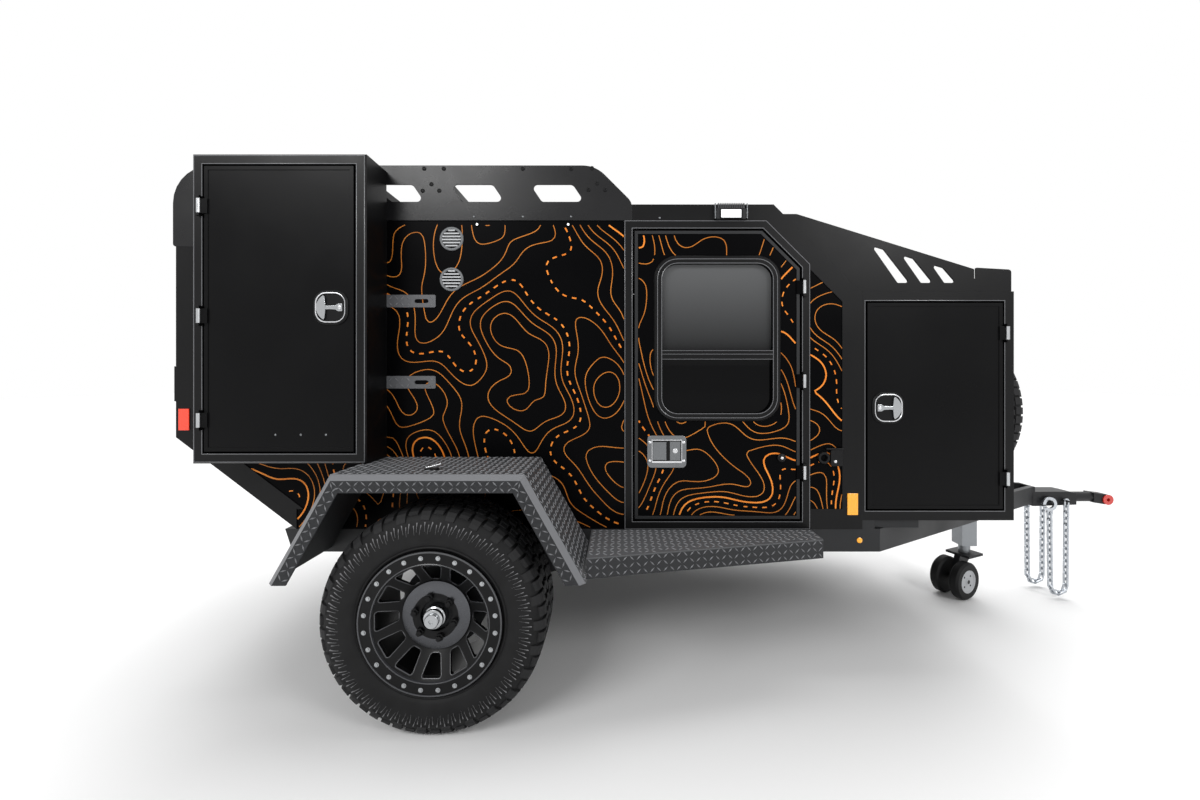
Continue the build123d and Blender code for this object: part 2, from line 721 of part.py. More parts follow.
# Cabin doors with their windows, latches and hinges
paddle_w = 156.0
paddle_h = 129.0
paddle_inset = 128.0
paddle_rise = 269.0
paddle_t = 8.0
paddle_floor = 2.0
paddle_corner = 14.0
paddle_rim = 20.0
paddle_grip_h = 84.0
paddle_lift = 6.0
knob_inset = 74.0
knob_rise = 245.0
knob_r = 17.0
knob_l = 14.0
paddle_x = door_x0 + paddle_inset
paddle_z = door_z0 + paddle_rise
knob_x = door_x1 - knob_inset
knob_z = door_z0 + knob_rise
pocket_w = paddle_w - 2 * paddle_rim
for side, sign in SIDES:
    leaf_plane = slab_plane(sign, door_leaf_out - wall_t, door_leaf_out)
    with BuildPart() as door:
        with BuildSketch(leaf_plane):
            Polygon(*door_outline(0), align=None)
        extrude(amount=wall_t)
        extrude(window_sketch(leaf_plane, window_rim), amount=wall_t, mode=Mode.SUBTRACT)
        leaf_bead(sign, door_outline(0), door_leaf_out)
    write(door, f"{side}_door")

    window_out = door_leaf_out + window_proud
    glass_out = door_leaf_out - glass_inset
    window_plane = slab_plane(sign, door_leaf_out, window_out)
    with BuildPart() as window:
        extrude(window_sketch(window_plane, 0), amount=window_proud)
        chamfer(window.faces().sort_by(Axis.Y)[0 if sign < 0 else -1].edges(), window_bevel)
        extrude(window_sketch(window_plane, window_rim), amount=window_proud, mode=Mode.SUBTRACT)
        with BuildSketch(slab_plane(sign, glass_out, window_out)):
            with Locations((window_centre[0], window_rail_z)):
                Rectangle(window_size[0] - 2 * window_rim, window_rail_h)
        extrude(amount=window_out - glass_out)
    write(window, f"{side}_door_window")

    with BuildPart() as glass:
        glass_plane = slab_plane(sign, glass_out - glass_t, glass_out)
        extrude(window_sketch(glass_plane, window_rim), amount=glass_t)
    write(glass, f"{side}_door_glass")

    with BuildPart() as door_hardware:
        with BuildSketch(slab_plane(sign, door_leaf_out, door_leaf_out + paddle_t)):
            with Locations((paddle_x, paddle_z)):
                RectangleRounded(paddle_w, paddle_h, paddle_corner)
        extrude(amount=paddle_t)
        with BuildSketch(slab_plane(sign, door_leaf_out + paddle_floor, door_leaf_out + paddle_t)):
            with Locations((paddle_x, paddle_z + paddle_lift)):
                Rectangle(pocket_w, paddle_grip_h)
                with Locations((-pocket_w / 6, 0)):
                    Rectangle(pocket_w / 2, paddle_grip_h - 2 * paddle_floor, mode=Mode.SUBTRACT)
                with Locations((pocket_w / 3, 0)):
                    Rectangle(pocket_w / 4, paddle_grip_h - 2 * paddle_floor, mode=Mode.SUBTRACT)
        extrude(amount=paddle_t - paddle_floor, mode=Mode.SUBTRACT)
        with BuildSketch(slab_plane(sign, door_leaf_out, door_leaf_out + knob_l)):
            with Locations((knob_x, knob_z)):
                Circle(knob_r)
        extrude(amount=knob_l)
        hinge_straps(sign, door_axis_x, frame_out, door_x1, door_leaf_out + leaf_bead_t, -1, door_hinge_z)
    write(door_hardware, f"{side}_door_hardware")


# Folding T-latch: a rounded pan with its T handle lying in it, the stem pivoted at the pan's edge
# on the side that direction gives
def folding_latch(sign, place, leaf_y, direction):
    with BuildSketch(slab_plane(sign, leaf_y, leaf_y + latch_t)) as dish:
        with Locations(place):
            RectangleRounded(latch_w, latch_w, latch_corner)
    extrude(dish.sketch, amount=latch_t)
    pan_w = latch_w - 2 * latch_rim
    with BuildSketch(slab_plane(sign, leaf_y + latch_floor, leaf_y + latch_t)) as pan:
        with Locations(place):
            RectangleRounded(pan_w, pan_w, latch_corner - latch_rim)
            with Locations((direction * pan_w / 6, 0)):
                Rectangle(2 * pan_w / 3, latch_stem_h, mode=Mode.SUBTRACT)
            with Locations((-direction * pan_w / 4, 0)):
                SlotOverall(latch_bar_l, latch_bar_w, rotation=90, mode=Mode.SUBTRACT)
    extrude(pan.sketch, amount=latch_t - latch_floor, mode=Mode.SUBTRACT)


def rectangle_between(x0, z0, x1, z1):
    return Polygon(*corners_of(x0, z0, x1, z1), align=None, mode=Mode.PRIVATE)


# Side boxes: sheet shell on the wall with a deep face frame round the door
side_box_out = body_half + side_box_depth
side_leaf = (
    side_box_x0 + side_box_frame + leaf_gap, side_box_z0 + side_box_frame + leaf_gap,
    side_box_x1 - side_box_frame - leaf_gap, side_box_z1 - side_box_frame - leaf_gap,
)
side_axis_x = side_leaf[0] - leaf_gap - hinge_r


def grown(rectangle, distance):
    x0, z0, x1, z1 = rectangle
    return (x0 - distance, z0 - distance, x1 + distance, z1 + distance)


side_box_rect = (side_box_x0, side_box_z0, side_box_x1, side_box_z1)
for side, sign in SIDES:
    with BuildPart() as side_box:
        with BuildSketch(slab_plane(sign, body_half, side_box_out)):
            add(rectangle_between(*side_box_rect))
        extrude(amount=side_box_depth)
        cavity_y0, cavity_y1 = body_half + box_sheet, side_box_out - box_leaf_t
        with BuildSketch(slab_plane(sign, cavity_y0, cavity_y1)):
            add(rectangle_between(*grown(side_box_rect, -box_sheet)))
        extrude(amount=cavity_y1 - cavity_y0, mode=Mode.SUBTRACT)
        with BuildSketch(slab_plane(sign, cavity_y1, side_box_out)):
            add(rectangle_between(*grown(side_leaf, leaf_gap)))
        extrude(amount=box_leaf_t, mode=Mode.SUBTRACT)
        with BuildSketch(slab_plane(sign, body_half, body_half + rack_t)):
            add(rectangle_between(side_box_x0, rack_bottom, side_box_x1, rack_top))
        extrude(amount=rack_t, mode=Mode.SUBTRACT)
        box_face = side_box.faces().sort_by(Axis.Y)[0 if sign < 0 else -1]
        chamfer(box_face.outer_wire().edges(), box_edge)
        hinge_lugs(sign, side_axis_x, side_box_out, side_box_hinge_z)
    write(side_box, f"{side}_side_box")

    with BuildPart() as side_box_door:
        with BuildSketch(slab_plane(sign, side_box_out - box_leaf_t, side_box_out)):
            add(rectangle_between(*side_leaf))
        extrude(amount=box_leaf_t)
        leaf_bead(sign, corners_of(*side_leaf), side_box_out)
    write(side_box_door, f"{side}_side_box_door")

    with BuildPart() as side_box_hardware:
        folding_latch(sign, side_box_latch, side_box_out, 1)
        strap_y = side_box_out + leaf_bead_t
        hinge_straps(sign, side_axis_x, side_box_out, side_leaf[0], strap_y, 1, side_box_hinge_z)
    write(side_box_hardware, f"{side}_side_box_hardware")

# Front box: one sheet shell across the trailer, with a door in each side
front_leaf = (
    front_x + front_box_rear_frame + leaf_gap, front_box_z0 + front_box_frame + leaf_gap,
    front_box_x1 - front_box_frame - leaf_gap, front_box_z1 - front_box_frame - leaf_gap,
)
front_axis_x = front_leaf[2] + leaf_gap + hinge_r
front_box_rect = (front_x, front_box_z0, front_box_x1, front_box_z1)
with BuildPart() as front_box:
    with BuildSketch(slab_plane(1, -body_half, body_half)):
        add(rectangle_between(*front_box_rect))
    extrude(amount=2 * body_half)
    cavity_half = body_half - box_leaf_t
    with BuildSketch(slab_plane(1, -cavity_half, cavity_half)):
        add(rectangle_between(*grown(front_box_rect, -box_sheet)))
    extrude(amount=2 * cavity_half, mode=Mode.SUBTRACT)
    with BuildSketch(slab_plane(1, -body_half, body_half)):
        add(rectangle_between(*grown(front_leaf, leaf_gap)))
    extrude(amount=2 * body_half, mode=Mode.SUBTRACT)
    for _, sign in SIDES:
        hinge_lugs(sign, front_axis_x, body_half, front_box_hinge_z)
write(front_box, "front_box")

for side, sign in SIDES:
    with BuildPart() as front_box_door:
        with BuildSketch(slab_plane(sign, body_half - box_leaf_t, body_half)):
            add(rectangle_between(*front_leaf))
        extrude(amount=box_leaf_t)
        leaf_bead(sign, corners_of(*front_leaf), body_half)
    write(front_box_door, f"{side}_front_box_door")
    with BuildPart() as front_box_hardware:
        folding_latch(sign, front_box_latch, body_half, -1)
        strap_y = body_half + leaf_bead_t
        hinge_straps(sign, front_axis_x, body_half, front_leaf[2], strap_y, -1, front_box_hinge_z)
    write(front_box_hardware, f"{side}_front_box_hardware")

# Rack and deck plates
slot_x = [rack_slot_x - i * rack_slot_pitch for i in range(rack_slot_count)]
deck_run = 93.0
deck_fall = 37.0
deck_nose = (158.0, 89.0)
deck_lip = (152.0, 95.0)
deck_tip = (10.0, 87.0)
deck_notch = 38.0
deck_slot_start = 38.0
deck_slot_pitch = 119.0
deck_slot_count = 3
deck_top = (
    (roof_front_x + deck_run, roof_z - deck_fall), (front_box_x1 - deck_nose[0], front_box_z1 + deck_nose[1]),
)
deck_front = [(front_box_x1 - x, front_box_z1 + z) for x, z in (deck_lip, deck_tip)]
deck_slot_x = [front_x + deck_slot_start + i * deck_slot_pitch for i in range(deck_slot_count)]
deck_slot_w = 48.0
deck_slot_margin = 34.0
deck_slot_lean = 0.7


def deck_line(x):
    (x0, z0), (x1, z1) = deck_top
    return z0 + (x - x0) * (z1 - z0) / (x1 - x0)


# Leaning slots with eased corners
def rack_slots():
    half_w, half_h = rack_slot_w / 2, rack_slot_h / 2
    with BuildSketch() as slots:
        with Locations(*[(x, roof_z + rack_slot_rise) for x in slot_x]):
            Polygon(
                (rack_slot_lean - half_w, -half_h), (half_w, -half_h),
                (half_w - rack_slot_lean, half_h), (-half_w, half_h), align=None,
            )
        fillet(slots.vertices(), rack_slot_r)
    return slots.sketch


def rack_outline():
    with BuildSketch() as outline:
        Polygon(
            (rack_rear_x, rack_rear_drop), (rack_rear_x + rack_rear_w, rack_rear_drop),
            (rack_rear_x + rack_rear_w, rack_bottom), (rack_front_x, rack_bottom),
            (rack_front_x, rack_top - rack_shoulder), (rack_shoulder_x, rack_top),
            (rack_rear_x, rack_top), align=None,
        )
        top = outline.vertices().group_by(Axis.Y)[-1].sort_by(Axis.X)
        fillet(top[0], rack_rear_r)
        fillet(top[1], rack_shoulder_r)
        fillet(outline.vertices().sort_by(Axis.X).last, rack_nose_r)
    return outline.sketch


with BuildPart() as rack_plates:
    for _, sign in SIDES:
        with BuildSketch(slab_plane(sign, body_half, body_half + rack_t)):
            add(rack_outline())
            add(rack_slots(), mode=Mode.SUBTRACT)
        extrude(amount=rack_t)
        with BuildSketch(slab_plane(sign, body_half - deck_t, body_half)):
            deck_z0 = deck_top[0][1]
            Polygon(
                (roof_front_x + roof_z - deck_z0, deck_z0), deck_top[0], deck_top[1],
                (deck_top[1][0], deck_top[1][1] - deck_notch),
                (deck_front[0][0], deck_top[1][1] - deck_notch), deck_front[0], deck_front[1],
                (deck_front[1][0], front_box_z1), (front_x, front_box_z1), (front_x, slope_z), align=None,
            )
            for x in deck_slot_x:
                z0, z1 = front_box_z1 + deck_slot_margin, deck_line(x) - deck_slot_margin
                lean = (z1 - z0) * deck_slot_lean
                z2 = deck_line(x + deck_slot_w) - deck_slot_margin
                Polygon(
                    (x, z1), (x + lean, z0), (x + lean + deck_slot_w, z0), (x + deck_slot_w, z2),
                    align=None, mode=Mode.SUBTRACT,
                )
        extrude(amount=deck_t)
write(rack_plates, "rack_plates")

# Load bars from plate to plate, one in each space between two slots
crossbar_w = 40.0
crossbar_h = 30.0
crossbar_drop = 40.0
with BuildPart() as rack_crossbars:
    with Locations((slot_x[0] / 2 + slot_x[-1] / 2, 0, rack_top - crossbar_drop)):
        with GridLocations(rack_slot_pitch, 1, rack_slot_count - 1, 1):
            Box(crossbar_w, 2 * body_half, crossbar_h)
write(rack_crossbars, "rack_crossbars")

# Fenders: a sheet bent over each wheel, folded down at 45 degrees to a skirt along its outer edge
fender_leg = (fender_half_foot - fender_half_top) / (fender_top - fender_foot_z)
fender_extra = 200.0
fender_low = fender_half_foot + fender_extra * fender_leg


def fender_arch(half_foot, foot_z):
    return [
        (axle_x - half_foot, foot_z), (axle_x + half_foot, foot_z),
        (axle_x + fender_half_top, fender_top), (axle_x - fender_half_top, fender_top),
    ]


# Block under an arch, bevelled along the outer edge of its top and legs
def fender_block(sign, arch, depth, bevel):
    with BuildPart() as block:
        with BuildSketch(slab_plane(sign, body_half, body_half + depth)):
            Polygon(*arch, align=None)
        extrude(amount=depth)
        outer_face = block.faces().sort_by(Axis.Y)[0 if sign < 0 else -1]
        chamfer(outer_face.edges().sort_by(Axis.Z)[1:], bevel)
    return block.part


inner_arch = fender_arch(fender_low, fender_foot_z - fender_extra)
inner_bevel = fender_bevel - fender_sheet * (2 - 2 ** 0.5)
with BuildPart() as fenders:
    for _, sign in SIDES:
        add(fender_block(sign, fender_arch(fender_half_foot, fender_foot_z), fender_depth, fender_bevel))
        hollow = fender_block(sign, inset(inner_arch, fender_sheet), fender_depth - fender_sheet, inner_bevel)
        add(hollow, mode=Mode.SUBTRACT)
        with BuildSketch(slab_plane(sign, body_half, body_half + fender_depth)):
            Polygon(*inset(inner_arch, fender_lip), align=None)
        extrude(amount=fender_depth, mode=Mode.SUBTRACT)
write(fenders, "fenders")

# Steps along the rails: a tapered tray turned down at its outer edge and front end
step_x0 = axle_x + fender_half_foot
step_top = floor_z - step_drop
with BuildPart() as steps:
    for _, sign in SIDES:
        rear_y, front_y = body_half + step_depth_rear, body_half + step_depth_front
        with BuildSketch(Plane.XY.offset(step_top - step_h)):
            Polygon(
                (step_x0, sign * body_half), (step_x1, sign * body_half),
                (step_x1, sign * front_y), (step_x0, sign * rear_y), align=None,
            )
        extrude(amount=step_h)
        with BuildSketch(Plane.XY.offset(step_top - step_h)):
            Polygon(
                (step_x0, sign * body_half), (step_x1 - fender_sheet, sign * body_half),
                (step_x1 - fender_sheet, sign * (front_y - fender_sheet)),
                (step_x0, sign * (rear_y - fender_sheet)), align=None,
            )
        extrude(amount=step_h - fender_sheet, mode=Mode.SUBTRACT)
write(steps, "steps")

# White lamps: a finned flood light on each roof edge and spots under the rack
flood_back = 173.0
flood_x = roof_front_x - flood_back
flood_w = 130.0
flood_h = 62.0
flood_d = 20.0
flood_fins = 13
flood_fin_h = 9.0
flood_lens = (78.0, 38.0)
flood_lens_d = 4.0
spot_share = (0.38, 0.763)
spot_r = 14.0
spot_t = 8.0
spot_clear = 2.0
bay_l = door_x0 - door_frame_grow - side_box_x1
spot_x = [side_box_x1 + share * bay_l for share in spot_share]
flood_z = door_top + door_frame_grow + spot_clear + flood_h / 2
with BuildPart() as white_lamps:
    for _, sign in SIDES:
        with Locations((flood_x, sign * (trim_out + flood_d / 2), flood_z)):
            Box(flood_w, flood_d, flood_h)
            fin_pitch = flood_w / flood_fins
            with Locations((0, 0, flood_h / 2)):
                with GridLocations(fin_pitch, 1, flood_fins - 1, 1):
                    Box(fin_pitch / 2, flood_d, 2 * flood_fin_h, mode=Mode.SUBTRACT)
            with Locations((0, sign * (flood_d - flood_lens_d) / 2, -flood_fin_h / 2)):
                Box(flood_lens[0], flood_lens_d, flood_lens[1], mode=Mode.SUBTRACT)
        with BuildSketch(slab_plane(sign, body_half, body_half + spot_t)):
            with Locations(*[(x, rack_bottom - spot_r - spot_clear) for x in spot_x]):
                Circle(spot_r)
        extrude(amount=spot_t)
write(white_lamps, "white_lamps")

# Markers: red reflectors and tail lamps at the rear, amber reflectors and lamps at the front
marker_t = 4.0
reflector_w = 42.0
reflector_h = 86.0
red_inset = 34.0
red_rise = 71.0
amber_rise = 100.0
rail_marker_inset = 10.0
rail_marker_r = 11.0
tail_lamp_rise = 213.0
tail_lamp_w = 30.0
tail_lamp_h = 140.0
tail_lamp_t = 8.0
reflector_places = (
    (rear_x + red_inset, tail_z + red_rise), (front_x - trim_w / 2, floor_z + amber_rise),
)
with BuildPart() as marker_lamps:
    for _, sign in SIDES:
        with Locations(*[(x, sign * (trim_out + marker_t / 2), z) for x, z in reflector_places]):
            Box(reflector_w, marker_t, reflector_h)
        with Locations((rear_x - tail_lamp_t / 2, sign * (body_half - wall_t / 2), tail_z + tail_lamp_rise)):
            Box(tail_lamp_t, tail_lamp_w, tail_lamp_h)
        with BuildSketch(slab_plane(sign, body_half, body_half + marker_t)):
            with Locations((front_x - rail_marker_inset, floor_z - rail_h / 2)):
                Circle(rail_marker_r)
        extrude(amount=marker_t)
write(marker_lamps, "marker_lamps")

# Round louvred vents high on each wall
vent_run = 259.0
vent_drop = (137.0, 299.0)
vent_places = [(side_box_x1 + vent_run, roof_z - drop) for drop in vent_drop]
vent_r = 47.0
vent_t = 7.0
louvre_count = 5
louvre_h = 7.0
louvre_pitch = 14.0
with BuildPart() as wall_vents:
    for _, sign in SIDES:
        with BuildSketch(slab_plane(sign, body_half, body_half + vent_t)):
            with Locations(*vent_places):
                Circle(vent_r)
        extrude(amount=vent_t)
        with BuildSketch(slab_plane(sign, body_half + vent_t / 2, body_half + vent_t)):
            with Locations(*vent_places):
                for i in range(louvre_count):
                    z = (i - (louvre_count - 1) / 2) * louvre_pitch
                    with Locations((0, z)):
                        Rectangle(1.6 * (vent_r ** 2 - z ** 2) ** 0.5, louvre_h)
        extrude(amount=vent_t / 2, mode=Mode.SUBTRACT)
write(wall_vents, "wall_vents")

# Wall brackets: slotted strap tabs beside each side box, and the doors' hold-back catches
tab_share = (0.546, 0.261)
tab_z = [side_box_z0 + share * side_box_h for share in tab_share]
tab_l = 195.0
tab_h = 50.0
tab_t = 4.0
tab_slot = (56.0, 16.0)
catch_run = 94.0
catch_w = 76.0
catch_t = 4.0
socket_r = 24.0
socket_d = 14.0
socket_clear = 3.0
catch_place = (door_x1 + catch_run, knob_z)
with BuildPart() as wall_brackets:
    for _, sign in SIDES:
        with BuildSketch(slab_plane(sign, body_half, body_half + tab_t)):
            for z in tab_z:
                with Locations((side_box_x1 + tab_l / 2, z)):
                    Rectangle(tab_l, tab_h)
                with Locations((side_box_x1 + tab_l - tab_slot[0], z)):
                    SlotOverall(*tab_slot, mode=Mode.SUBTRACT)
            with Locations(catch_place):
                Rectangle(catch_w, catch_w)
        extrude(amount=tab_t)
        with BuildSketch(slab_plane(sign, body_half, body_half + socket_d)):
            with Locations(catch_place):
                Circle(socket_r)
                Circle(knob_r + socket_clear, mode=Mode.SUBTRACT)
        extrude(amount=socket_d)
write(wall_brackets, "wall_brackets")

# Jack: square tube through its plate, round leg, and a swivelling fork with twin wheels
leg_fit = 0.3
leg_drop = 60.0
leg_top = jack_top - leg_drop
with BuildPart() as jack_tube_part:
    with BuildSketch(Plane.XY.offset(jack_bottom)):
        with Locations((jack_x, 0)):
            Rectangle(jack_tube, jack_tube)
    extrude(amount=jack_top - jack_bottom)
    with BuildSketch(Plane.XY.offset(jack_bottom)):
        with Locations((jack_x, 0)):
            Circle(jack_leg_r + leg_fit)
    extrude(amount=leg_top + leg_fit - jack_bottom, mode=Mode.SUBTRACT)
write(jack_tube_part, "jack_tube")

with BuildPart() as jack_leg:
    with BuildSketch(Plane.XY.offset(jack_leg_bottom)):
        with Locations((jack_x, 0)):
            Circle(jack_leg_r)
    extrude(amount=leg_top - jack_leg_bottom)
write(jack_leg, "jack_leg")

fork_plate = 124.0
fork_plate_t = 12.0
fork_web_t = 30.0
fork_eye_r = 24.0
castor_axle_r = 10.0
castor_hub_gap = 1.0
castor_half = castor_gap / 2 + castor_w
fork_top = jack_leg_bottom - leg_fit
yaw = radians(castor_yaw)
castor_plane = Plane(
    (jack_x, 0, 0), x_dir=(-cos(yaw), -sin(yaw), 0), z_dir=(-sin(yaw), cos(yaw), 0),
)
fork_low = fork_top - fork_plate_t
with BuildPart() as jack_fork:
    with BuildSketch(castor_plane):
        with Locations((0, fork_top - fork_plate_t / 2)):
            Rectangle(fork_plate, fork_plate_t)
    extrude(amount=fork_plate / 2, both=True)
    with BuildSketch(castor_plane):
        Polygon(
            (-fork_plate / 3, fork_low), (castor_trail - fork_eye_r, castor_r - fork_eye_r / 2),
            (castor_trail + fork_eye_r, castor_r), (fork_plate / 2, fork_low), align=None,
        )
        with Locations((castor_trail, castor_r)):
            Circle(fork_eye_r)
    extrude(amount=fork_web_t / 2, both=True)
    with BuildSketch(castor_plane):
        with Locations((castor_trail, castor_r)):
            Circle(castor_axle_r)
    extrude(amount=castor_half + castor_hub_gap, both=True)
write(jack_fork, "jack_fork")

castor_edge = 10.0
castor_hub_r = 62.0
castor_dish = 8.0
castor_centre = castor_plane.from_local_coords((castor_trail, castor_r, 0))
castor_points = [
    (castor_axle_r + leg_fit, castor_gap / 2), (castor_r - castor_edge, castor_gap / 2),
    (castor_r, castor_gap / 2 + castor_edge), (castor_r, castor_half - castor_edge),
    (castor_r - castor_edge, castor_half), (castor_hub_r, castor_half),
    (castor_hub_r - castor_dish, castor_half - castor_dish),
    (castor_axle_r + leg_fit + castor_dish, castor_half - castor_dish),
    (castor_axle_r + leg_fit, castor_half),
]
with BuildPart() as jack_wheels:
    radial_plane = Plane(castor_centre, x_dir=(0, 0, 1), z_dir=castor_plane.x_dir)
    for sign in (-1, 1):
        with BuildSketch(radial_plane):
            Polygon(*[(r, sign * y) for r, y in castor_points], align=None)
        revolve(axis=Axis(castor_centre, castor_plane.z_dir))
write(jack_wheels, "jack_wheels")

# Slip hooks: each hangs by its mouth from a tongue pin and carries the chain's end in its eye
hook_rest = 0.3
hook_centre = (hook_pin[0], hook_pin[1] + chain_pin_r + hook_rest - hook_mouth_r)
hook_eye = (hook_centre[0], hook_centre[1] - hook_r - hook_hole_r)
with BuildPart() as chain_hooks:
    for _, sign in SIDES:
        with BuildSketch(slab_plane(sign, chain_y - hook_t / 2, chain_y + hook_t / 2)):
            with Locations(hook_centre):
                Circle(hook_r)
            with Locations(hook_eye):
                Circle(hook_eye_r)
            with Locations(hook_centre):
                Circle(hook_mouth_r, mode=Mode.SUBTRACT)
                with Locations((-hook_r, -hook_mouth_r / 2)):
                    Rectangle(hook_r, 0.8 * hook_mouth_r, mode=Mode.SUBTRACT)
            with Locations(hook_eye):
                Circle(hook_hole_r, mode=Mode.SUBTRACT)
        extrude(amount=hook_t)
write(chain_hooks, "chain_hooks")

# Safety chains: eight-sided links along a hanging run, each turned a quarter from the last.
# Joints lie at even steps along the run, and a link reaches past its joints by what its bend needs.
chain_start = (chain_anchor[0], chain_anchor[1] + chain_pin_r + hook_rest)
hole_seat = (hook_hole_r ** 2 - (chain_wire / 2) ** 2) ** 0.5
chain_end = (hook_eye[0], hook_eye[1] - hole_seat + hook_rest)
with BuildLine(Plane.XZ) as chain_run:
    FilletPolyline(
        chain_start, (chain_low_x[0], chain_low_z), (chain_low_x[1], chain_low_z), chain_end,
        radius=chain_bend_r,
    )
run_wire = chain_run.wires()[0]
link_count = 2 * round(run_wire.length / (2 * chain_inner_l))
joints = [run_wire.position_at(i / link_count) for i in range(link_count + 1)]
chords = [b - a for a, b in zip(joints, joints[1:])]
bends = [0] + [radians(a.get_angle(b)) for a, b in zip(chords, chords[1:])] + [0]
reaches = [chain_slack / 2 + chain_wire * tan(bend / 2) for bend in bends]
link_outer_cut = 0.3 * (chain_inner_w + 2 * chain_wire)
link_inner_cut = (chain_inner_w - chain_wire) / 3


def octagon(length, width, cut):
    x, y = length / 2, width / 2
    corners = [(x, cut - y), (x, y - cut), (x - cut, y), (cut - x, y)]
    return Polygon(*corners, *[(-u, -v) for u, v in corners], align=None, mode=Mode.PRIVATE)


def link_face(plane, inner_l):
    with BuildSketch(plane) as face:
        add(octagon(inner_l + 2 * chain_wire, chain_inner_w + 2 * chain_wire, link_outer_cut))
        add(octagon(inner_l, chain_inner_w, link_inner_cut), mode=Mode.SUBTRACT)
    return face.sketch


chain_links = []
for _, sign in SIDES:
    for i, chord in enumerate(chords):
        along = chord.normalized()
        start = joints[i] - along * reaches[i]
        end = joints[i + 1] + along * reaches[i + 1]
        middle = (start + end) * 0.5 + Vector(0, sign * chain_y, 0)
        across = Vector(0, 1, 0) if i % 2 == 0 else along.cross(Vector(0, 1, 0))
        face = link_face(Plane(middle, x_dir=along, z_dir=across), (end - start).length)
        chain_links.append(extrude(face, amount=chain_wire / 2, both=True))
with BuildPart() as safety_chains:
    add(chain_links)
write(safety_chains, "safety_chains")
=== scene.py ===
import json
import math
import bpy
import bmesh
import numpy as np
from mathutils import Matrix, Vector


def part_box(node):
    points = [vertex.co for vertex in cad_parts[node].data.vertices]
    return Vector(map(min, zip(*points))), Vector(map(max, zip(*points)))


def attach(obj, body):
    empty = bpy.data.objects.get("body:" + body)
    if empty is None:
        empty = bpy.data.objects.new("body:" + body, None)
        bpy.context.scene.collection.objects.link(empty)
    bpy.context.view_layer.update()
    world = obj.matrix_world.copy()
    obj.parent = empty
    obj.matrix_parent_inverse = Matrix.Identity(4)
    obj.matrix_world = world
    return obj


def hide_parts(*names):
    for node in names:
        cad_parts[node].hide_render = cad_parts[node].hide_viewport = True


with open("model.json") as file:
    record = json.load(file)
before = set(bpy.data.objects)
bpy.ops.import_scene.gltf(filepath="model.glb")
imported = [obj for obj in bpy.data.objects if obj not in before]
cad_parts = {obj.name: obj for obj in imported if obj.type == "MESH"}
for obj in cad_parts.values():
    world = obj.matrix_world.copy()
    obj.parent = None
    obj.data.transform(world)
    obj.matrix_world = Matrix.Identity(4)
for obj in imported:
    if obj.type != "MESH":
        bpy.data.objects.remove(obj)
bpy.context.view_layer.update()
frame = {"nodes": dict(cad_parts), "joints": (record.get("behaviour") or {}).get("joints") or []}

nodes = frame["nodes"]
sides = (("right", -1), ("left", 1))
print("frame loaded:", len(nodes), "nodes")


# sRGB hex to the linear colour that shaders take
def hexColour(text):
    parts = [int(text[i:i + 2], 16) / 255 for i in (1, 3, 5)]
    return tuple(c / 12.92 if c <= 0.04045 else ((c + 0.055) / 1.055) ** 2.4 for c in parts) + (1.0,)


# adds one node: values go to its properties or inputs, links to its inputs
def addNode(tree, kind, values=None, links=None):
    node = tree.nodes.new(kind)
    for key, value in (values or {}).items():
        if isinstance(key, str) and hasattr(node, key):
            setattr(node, key, value)
        else:
            node.inputs[key].default_value = value
    for key, source in (links or {}).items():
        tree.links.new(source, node.inputs[key])
    return node


# a plain material, with the object's own coordinates to lay patterns on
def startMaterial(name, colour, roughness, metallic=0.0, shine=0.5):
    mat = bpy.data.materials.new(name)
    mat.use_nodes = True
    tree = mat.node_tree
    shader = tree.nodes["Principled BSDF"]
    given = {"Base Color": hexColour(colour), "Roughness": roughness, "Metallic": metallic,
             "Specular IOR Level": shine}
    for socket, value in given.items():
        shader.inputs[socket].default_value = value
    coord = addNode(tree, "ShaderNodeTexCoord").outputs["Object"]
    return mat, tree, shader, coord


# base colour between two colours, by a value that runs from 0 to 1
def blendColours(tree, shader, share, dark, light, ends=(0.0, 1.0)):
    ramp = addNode(tree, "ShaderNodeValToRGB", links={"Fac": share})
    for stop, place, colour in zip(ramp.color_ramp.elements, ends, (dark, light)):
        stop.position = place
        stop.color = hexColour(colour)
    tree.links.new(ramp.outputs["Color"], shader.inputs["Base Color"])


# a colour that changes between two heights, in metres
def heightBlend(tree, shader, coord, low, high, dark, light):
    parts = addNode(tree, "ShaderNodeSeparateXYZ", links={0: coord})
    share = addNode(tree, "ShaderNodeMapRange", {1: low, 2: high, 3: 0.0, 4: 1.0}, {0: parts.outputs["Z"]})
    blendColours(tree, shader, share.outputs["Result"], dark, light)


# roughness that wanders between two values, as wiped and dusty patches do
def smudge(tree, shader, coord, low, high, patchMm):
    noise = addNode(tree, "ShaderNodeTexNoise", {"Scale": 1000 / patchMm, "Detail": 5.0}, {"Vector": coord})
    span = addNode(tree, "ShaderNodeMapRange", {1: 0.3, 2: 0.7, 3: low, 4: high}, {0: noise.outputs["Fac"]})
    tree.links.new(span.outputs["Result"], shader.inputs["Roughness"])


# bump of a given grain size, laid over edges rounded by a small radius
def grainAndEdge(tree, shader, coord, grainMm, strength, edgeMm):
    edge = addNode(tree, "ShaderNodeBevel", {"Radius": edgeMm / 1000, "samples": 4})
    noise = addNode(tree, "ShaderNodeTexNoise", {"Scale": 1000 / grainMm, "Detail": 3.0}, {"Vector": coord})
    bump = addNode(tree, "ShaderNodeBump", {"Strength": strength, "Distance": 0.0004},
                   {"Height": noise.outputs["Fac"], "Normal": edge.outputs["Normal"]})
    tree.links.new(bump.outputs["Normal"], shader.inputs["Normal"])


